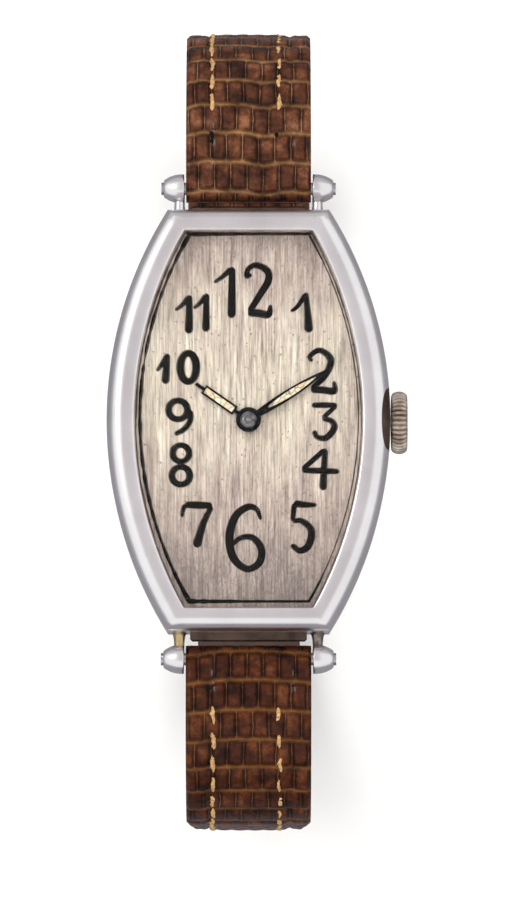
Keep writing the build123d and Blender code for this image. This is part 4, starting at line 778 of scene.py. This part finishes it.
def strap_width(half, distance, inset, least):
    """Half the width: it falls from 5.8 to 5 mm between the heights 34 and 20. The 6 o'clock
    tail comes to a point in its last 5.5 mm, where s goes from 0 to 1, as 1 - s^2.27."""
    start, heading, legs, length, _ = halves[half]
    at, _ = path_at(start, heading, legs, distance)
    wide = np.interp(at[:, 1], [20, 34], [5.0, 5.8]) - inset
    if half == "6":
        share = np.clip(1 - (length - distance) / 5.5, 0, 1)
        wide = np.maximum(wide * (1 - share ** 2.27), least)
    return wide


def placed(half, distance, across, outwards):
    """Points at this distance along a half, this far across it and outwards from its middle."""
    start, heading, legs, _, side_y = halves[half]
    at, direction = path_at(start, heading, legs, distance)
    normal_y, normal_z = side_y * -np.sin(direction), side_y * np.cos(direction)
    y = at[:, 0, None] + outwards * normal_y[:, None]
    z = at[:, 1, None] + outwards * normal_z[:, None]
    return np.stack([across * np.ones_like(y), y, z], axis=-1)


def squared(values, power):
    """A sine or cosine made squarer, sign(c) |c|^power: it turns a round section boxy."""
    return np.sign(values) * np.abs(values) ** power


# %% The scale rows
row_long, cell_wide = 2.5, 1.5


def rows_of_scales(distance, across, seed):
    """The scales' height and map. A row is 2.5 mm long and its edge wavers across the
    strap; in it, cells 1.5 mm wide swell a little, moved sideways from row to row. The map
    is the count of cells across and of rows along."""
    noise = np.random.default_rng(seed)
    waves = sum(noise.normal() * size * np.sin(across * often + noise.uniform(0, 6))
                for often, size in ((0.35, 0.12), (0.9, 0.07), (1.7, 0.05)))
    along = (distance + waves) / row_long
    row = np.floor(along)
    cell = across / cell_wide + 0.37 * np.sin(row * 2.3)
    swell = ((np.sin(math.pi * (along - row)) ** 0.4)
             * (0.6 + 0.4 * np.abs(np.sin(math.pi * cell)) ** 0.6))
    return 0.2 * (swell - 0.8), cell, along


# %% The padded leather
root, end_round = 1.3, 1.2


def leather_half(half, seed):
    """A flat inner face 0.7 mm below the path and a crowned outer face 1.2 mm above it,
    carried along the path. At the lug both close round the bar, as sqrt(1.3^2 - d^2); at the
    buckle both close as sqrt(1.2^2 - d^2). Under the stitches a groove sinks, as e^-x^2."""
    length = halves[half][3]
    start_turn = np.linspace(0.02, math.pi / 2, 12, endpoint=False)
    distance = np.concatenate([-root * np.cos(start_turn),
                               np.linspace(0, length, int(length / 0.22))])
    if half == "12":
        end_turn = np.linspace(0, math.pi / 2 - 0.02, 12)[1:]
        distance = np.concatenate([distance, length + end_round * np.sin(end_turn)])
    wide = strap_width(half, distance, 0, 0.12)
    share = np.sin(np.linspace(-math.pi / 2, math.pi / 2, 61))
    out_x = share[None] * wide[:, None]
    crown = (1.2 - 0.12 * np.abs(share[None]) ** 2
             - 0.22 * smooth_steps(0.94, 1, np.abs(share)))
    before = distance < 0
    root_height = np.sqrt(np.clip(root ** 2 - distance ** 2, 0, None))
    low = np.where(before, -root_height, np.minimum(-root_height, -0.7))
    top = np.where(before[:, None], crown * (root_height / root)[:, None], crown)
    if half == "12":
        past = np.clip(distance - length, 0, None)
        close = np.sqrt(np.clip(end_round ** 2 - past ** 2, 0, None)) / end_round
        top = top * close[:, None]
        low = np.where(distance > length - end_round, -end_round, low) * close
    scales, cell, row = rows_of_scales(distance[:, None], out_x, seed)
    to_end = length - distance + (0.4 if half == "12" else 0)
    fade = smooth_steps(-0.6, 1.5, distance) * smooth_steps(0, 0.8, to_end)
    groove = np.exp(-((np.abs(out_x - 0.1) - 3.75) / 0.3) ** 2)
    top = top + fade[:, None] * (scales - 0.22 * groove)
    under = -share[None, 1:-1] * wide[:, None] * 0.985
    across = np.concatenate([out_x, under], axis=1)
    outwards = np.concatenate([top, np.repeat(low[:, None], under.shape[1], axis=1)], axis=1)
    under_row = np.repeat(row[:, -1:], under.shape[1], axis=1)
    where = np.stack([np.concatenate([cell, under / cell_wide], axis=1),
                      np.concatenate([row, under_row], axis=1)], axis=-1)
    return placed(half, distance, across, outwards), where


for half, seed in (("6", 3), ("12", 4)):
    grid, where_on = leather_half(half, seed)
    leather = surface(f"leather_{half}", grid, f"strap_{half}", lizard, close_u=False,
                      crease=60, places=where_on)
    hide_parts(f"strap_{half}_leather")
    print(leather.name, "has", len(leather.data.polygons), "faces")

# %% Cutting the buckle holes, the tongue's slot and the back's knife notch
def cut(piece, cutters):
    """Cuts each closed grid of points out of a piece with an exact Boolean."""
    tool = surface("cutter", cutters, "case", black_enamel, close_u=False)
    change = piece.modifiers.new("cut", "BOOLEAN")
    change.operation, change.solver, change.object = "DIFFERENCE", "EXACT", tool
    with bpy.context.temp_override(object=piece, active_object=piece):
        bpy.ops.object.modifier_apply(modifier="cut")
    bpy.data.objects.remove(tool)


# Seven round holes 6 mm apart, the first 13 mm from the tip.
hole_radius, hole_turn = 0.7, np.linspace(0, 2 * math.pi, 24, endpoint=False)
punches = np.stack([placed("6", length_6 - from_tip + hole_radius * np.sin(hole_turn),
                           hole_radius * np.cos(hole_turn)[:, None],
                           np.ones((24, 1)) * (-2.6, 2.6))
                    for from_tip in 13 + 6.0 * np.arange(7)]).transpose(0, 2, 1, 3)
slot_y = buckle_at[0, 0] + np.asarray([-2.4, 4.0, 4.0, -2.4])
slot_x = 0.95 * np.asarray([-1, -1, 1, 1])
slot_tool = np.stack([np.column_stack([slot_x, slot_y, np.full(4, z)]) for z in (-1.0, 4.8)])
cut(bpy.data.objects["leather_6"], punches)
cut(bpy.data.objects["leather_12"], slot_tool)
# A notch at the lower right corner lets a knife prise the back off.
knife_notch = turned([(-0.55, 0.55), (0.05, 0.55)], "Z", (6.9, -19.5, band_z))
cut(back, knife_notch)
print(len(punches), "buckle holes, a slot and a notch")

# %% The linings
# A thin flat band under the leather, a little narrower than it, with rounded edges.
for half, from_end in (("6", 0.25), ("12", 1.3)):
    distance = np.linspace(2.4, halves[half][3] - from_end, 160)
    wide = strap_width(half, distance, 0.12, 0.1)
    turn = np.linspace(0, 2 * math.pi, 40, endpoint=False)
    flat, deep = squared(np.cos(turn), 0.35), squared(np.sin(turn), 0.35)
    lining = surface(f"lining_{half}", placed(half, distance, wide[:, None] * flat[None],
                                              -0.95 + 0.24 * deep[None] * np.ones((160, 1))),
                     f"strap_{half}", calf, close_u=False, crease=60)
    cut(lining, punches if half == "6" else slot_tool)
    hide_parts(f"strap_{half}_lining")
    print(lining.name, "has", len(lining.data.polygons), "faces")

# %% [markdown]
# ### Stitching
# Two rows of waxed thread hold leather and lining. A thread could be one long curve, but
# only its stitches show. So each stitch is a small lens of thread that dips into the
# leather at both ends, and all of them are copies of one grid with few faces, each frayed
# and bent a little in its own way.

# %% Stitches
def stitches(half, first, last, offset, pitch=2.1, long=2.0, thick=0.21):
    """Copies of one stitch: along it the radius falls as a circle's does, and its middle
    stands on the leather."""
    starts = first + pitch * np.arange(int((last - first) / pitch))
    step = np.linspace(-1, 1, 9)
    turn = np.linspace(0, 2 * math.pi, 8, endpoint=False)
    radius = thick * np.sqrt(1 - (0.96 * step) ** 2)
    lift = 1.06 - 0.14 * step ** 2
    copies = []
    for begin in starts:
        frayed = radius[:, None] * (1 + 0.25 * rng.normal(size=(9, 8)))
        out = lift[:, None] + frayed * np.sin(turn)[None]
        sway = 0.1 * np.cumsum(rng.normal(size=9)) / 3
        side = offset + sway[:, None] + frayed * np.cos(turn)[None]
        copies.append(placed(half, begin + long / 2 * (1 + step), side, out))
    return np.stack(copies)


for half, first, last in (("6", 4.3, length_6 - 5), ("12", 6.8, length_12 - 5)):
    for label, offset in (("left", -3.35), ("right", 2.85)):
        row = stitches(half, first, last, offset)
        thread = surface(f"thread_{half}_{label}", row, f"strap_{half}", linen, close_u=False,
                         crease=80)
        print(thread.name, "has", len(row), "stitches")

# %% Needle holes
# Near the lugs the thread is gone and only its holes are left. Each hole is a small black lens
# on the leather, painted shade of the hole, given by its distance from the bar and its place
# across the strap.
pit_turn = np.linspace(0, 2 * math.pi, 16, endpoint=False)
for half, places in (("12", ((4.9, -3.45), (4.3, -3.4), (4.8, 2.6), (3.5, 2.75))),
                     ("6", ((2.9, -3.75), (3.2, 2.6)))):
    painted_hole_shades = [placed(half, distance + 0.24 * np.sin(pit_turn),
                   offset + np.outer(np.cos(pit_turn), (0.02, 0.2, 0.02)),
                   np.ones((16, 1)) * (1.0, 1.1, 1.14)) for distance, offset in places]
    painted_hole_shade = surface(f"needle_hole_painted_shade_{half}", np.stack(painted_hole_shades).transpose(0, 2, 1, 3),
                  f"strap_{half}", black_enamel, close_u=False)
    print(painted_hole_shade.name, "has", len(painted_hole_shades), "holes")

# %% [markdown]
# ### Keepers
# Two loops of the same leather hold the tail: one is sewn to the strap, one slides. A torus
# would have a round section, and theirs is flat. So each is a boxy band carried round a
# rounded rectangle that clears the leather and the tail.

# %% The fixed and the sliding keeper
keeper_base = length_12 - 1.5 - 8 * half_turn
side, low_n, high_n, wall, corner, half_long = 5.15, -1.35, 3.75, 0.8, 0.8, 1.75
turn = (np.arange(64) + 0.5) * 2 * math.pi / 64
cos, sin = np.cos(turn), np.sin(turn)
half_x, half_n = side + wall / 2, (high_n - low_n) / 2 + wall / 2
loop_x = np.sign(cos) * (half_x - corner) + corner * cos
loop_n = (low_n + high_n) / 2 + np.sign(sin) * (half_n - corner) + corner * sin
around = np.linspace(0, 2 * math.pi, 24, endpoint=False)
thick = squared(np.sin(around), 0.5) * 0.39
for label, body, base in (("fixed_keeper", "strap_12", keeper_base - 0.5),
                          ("sliding_keeper", "keeper", keeper_base - 0.5 - 3.5 - 0.3)):
    distance = base - half_long + squared(np.cos(around), 0.4) * half_long
    rows = placed("12", distance, loop_x[None] + thick[:, None] * cos[None],
                  loop_n[None] + thick[:, None] * sin[None])
    keeper = surface(f"{label}_loop", rows, body, lizard, crease=70,
                     places=np.stack([loop_x[None] / cell_wide + 0 * thick[:, None],
                                      distance[:, None] / row_long + 0 * loop_x[None]],
                                     axis=-1))
    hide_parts(label)
print("the keepers are", 2 * half_long, "mm long")

# %% [markdown]
# ## Finishes of the pieces that keep their CAD shape
# The movement, the dial, the hands and the buckle have their right shape already. They could
# be modelled again, but they only need their finish: plates of frosted nickel, gilt wheels,
# ruby bearings, and polished steel for every arbor, bar and screw.

# %% Movement, hands, dial and buckle
finishes = (
    (aged_silver, "dial"), (clear_acrylic, "crystal"), (ruby, "jewels"),
    (blackened_steel, "minute_hand hour_hand"), (old_lume, "minute_hand_lume hour_hand_lume"),
    (polished_chrome, "buckle_frame buckle_tongue"), (blued_steel, "hairspring"),
    (frosted_nickel, "main_plate barrel_bridge train_bridge balance_cock pallet_cock"),
    (gilt_brass, "stem_tube mainspring_barrel barrel_lid centre_wheel third_wheel "
                 "fourth_wheel hour_wheel minute_wheel balance_wheel"),
)
looks = {name: look for look, names in finishes for name in names.split()}
for name, piece in nodes.items():
    piece.data.materials.clear()
    piece.data.materials.append(looks.get(name, polished_steel))
print(len(looks), "CAD pieces have a finish of their own, and the rest are polished steel")

# %% [markdown]
# ## Light, floor and camera
# The photograph looks at the dial from a little towards 6 o'clock, in soft light. A pale
# floor carries the watch. One large lamp stands to the upper left, and a second, weaker one
# fills from the right. Chrome shows what stands round it, so cards that only mirrors see
# shape its reflections. An image of a studio could do both, but lamps and cards are easier
# to place one by one.

# %% Floor and world
# The world is pure white where the camera, a mirror or glass sees it, and lights at 0.9.
pale_floor, node, where = new_material("pale_floor")
paper = node("ValToRGB", {"Fac": grain(node, where, 60)}, [(0.3, "#f2f1ef"), (0.7, "#f7f6f4")])
finish(node, Base_Color=paper, Roughness=0.7)
bpy.ops.mesh.primitive_plane_add(size=3.0, location=(0, 0, -0.0002))
floor = bpy.context.object
floor.name = "studio_floor"
floor.data.materials.append(pale_floor)

scene.world = bpy.data.worlds.new("white_room")
scene.world.use_nodes = True
scene.world.node_tree.nodes.clear()
node = functools.partial(add_node, scene.world.node_tree)
rays = node("LightPath").outputs
seen = node("Math", {0: rays["Is Camera Ray"], 1: rays["Is Glossy Ray"]}, operation="MAXIMUM")
seen = node("Math", {0: seen, 1: rays["Is Transmission Ray"]}, operation="MAXIMUM")
strength = node("MapRange", {"Value": seen, "To Min": 0.9, "To Max": 1.0})
air = node("Background", {"Color": (1, 1, 1, 1), "Strength": strength})
node("OutputWorld", {"Surface": air})
print("the floor is", floor.dimensions.x, "m wide")


# %% Lamps and cards
dial_middle = (0, 0, 0.045)


def aim(piece, place, target):
    """Puts a lamp, card or camera at a place so that its -Z axis looks at the target."""
    piece.location = place
    look = Vector(target) - Vector(place)
    piece.rotation_euler = look.to_track_quat("-Z", "Y").to_euler()


def lamp(name, place, size, watts):
    """A square lamp, size metres wide, aimed at the middle of the dial."""
    light = bpy.data.lights.new(name, "AREA")
    light.size, light.energy = size, watts
    made = bpy.data.objects.new(name, light)
    made.visible_glossy = False
    scene.collection.objects.link(made)
    aim(made, place, dial_middle)


def card(name, place, target, wide, high, colour, strength=1.0):
    """A flat card that only mirrors see: it shades polished metal and lights nothing."""
    glow, node, _ = new_material(name)
    shine = node("Emission", {"Color": linear(colour), "Strength": strength})
    node("OutputMaterial", {"Surface": shine})
    bpy.ops.mesh.primitive_plane_add(size=1.0)
    made = bpy.context.object
    made.name = name
    made.scale = (wide, high, 1)
    aim(made, place, target)
    made.data.materials.append(glow)
    made.visible_camera = made.visible_diffuse = made.visible_shadow = False


lamp("key_lamp", (-0.28, 0.28, 0.75), 0.9, 5.2)
lamp("fill_lamp", (0.35, -0.20, 0.75), 1.0, 2.8)
# A grey card overhead dulls the flat of the bezel, and a small bright one is the window
# that its roll mirrors. A table and four cards at the horizon darken the sides.
card("overhead_card", (0.0, 0.75, 1.1), (0.0, 0.75, 0.0), 0.64, 2.1, "#d3ced0")
card("window_card", (-0.36, 0.16, 0.50), dial_middle, 0.11, 0.11, "#ffffff", strength=15.0)
card("table_card", (0.0, 0.0, -0.0001), (0.0, 0.0, -1.0), 1.6, 1.6, "#9b999e")
horizon = ((1, 0, 0.36, "#aaa8ad"), (-1, 0, 0.36, "#b4b2b8"), (0, 1, 0.9, "#c4c1c4"),
           (0, -1, 0.5, "#96939a"))
for number, (x, y, high, colour) in enumerate(horizon):
    card(f"horizon_card_{number}", (0.6 * x, 0.6 * y, 0.02), (0, 0, 0.02), 1.3, high, colour)
print(len(bpy.data.lights), "lamps and", 3 + len(horizon), "cards")

# %% The camera
# It stands 0.7 m away, tilted by 5 degrees, and its lens makes a pixel 0.0923 mm at the
# centre: sensor height x distance / what 918 rows of pixels span there.
camera_data = bpy.data.cameras.new("camera")
camera = bpy.data.objects.new("camera", camera_data)
scene.collection.objects.link(camera)
scene.camera = camera
reach, tilt, rows = 0.70, math.radians(5.0), 918
centre = np.asarray([0.6, -3.57, 45.9]) * millimetre
aim(camera, centre + reach * np.asarray([0, -math.sin(tilt), math.cos(tilt)]), centre)
camera_data.sensor_fit = "VERTICAL"
camera_data.sensor_height = 36.0
camera_data.lens = 36.0 * reach / (rows * pixel * millimetre)
camera_data.clip_start = 0.01
scene.view_settings.view_transform = "Standard"
print("lens", round(camera_data.lens, 1), "mm")
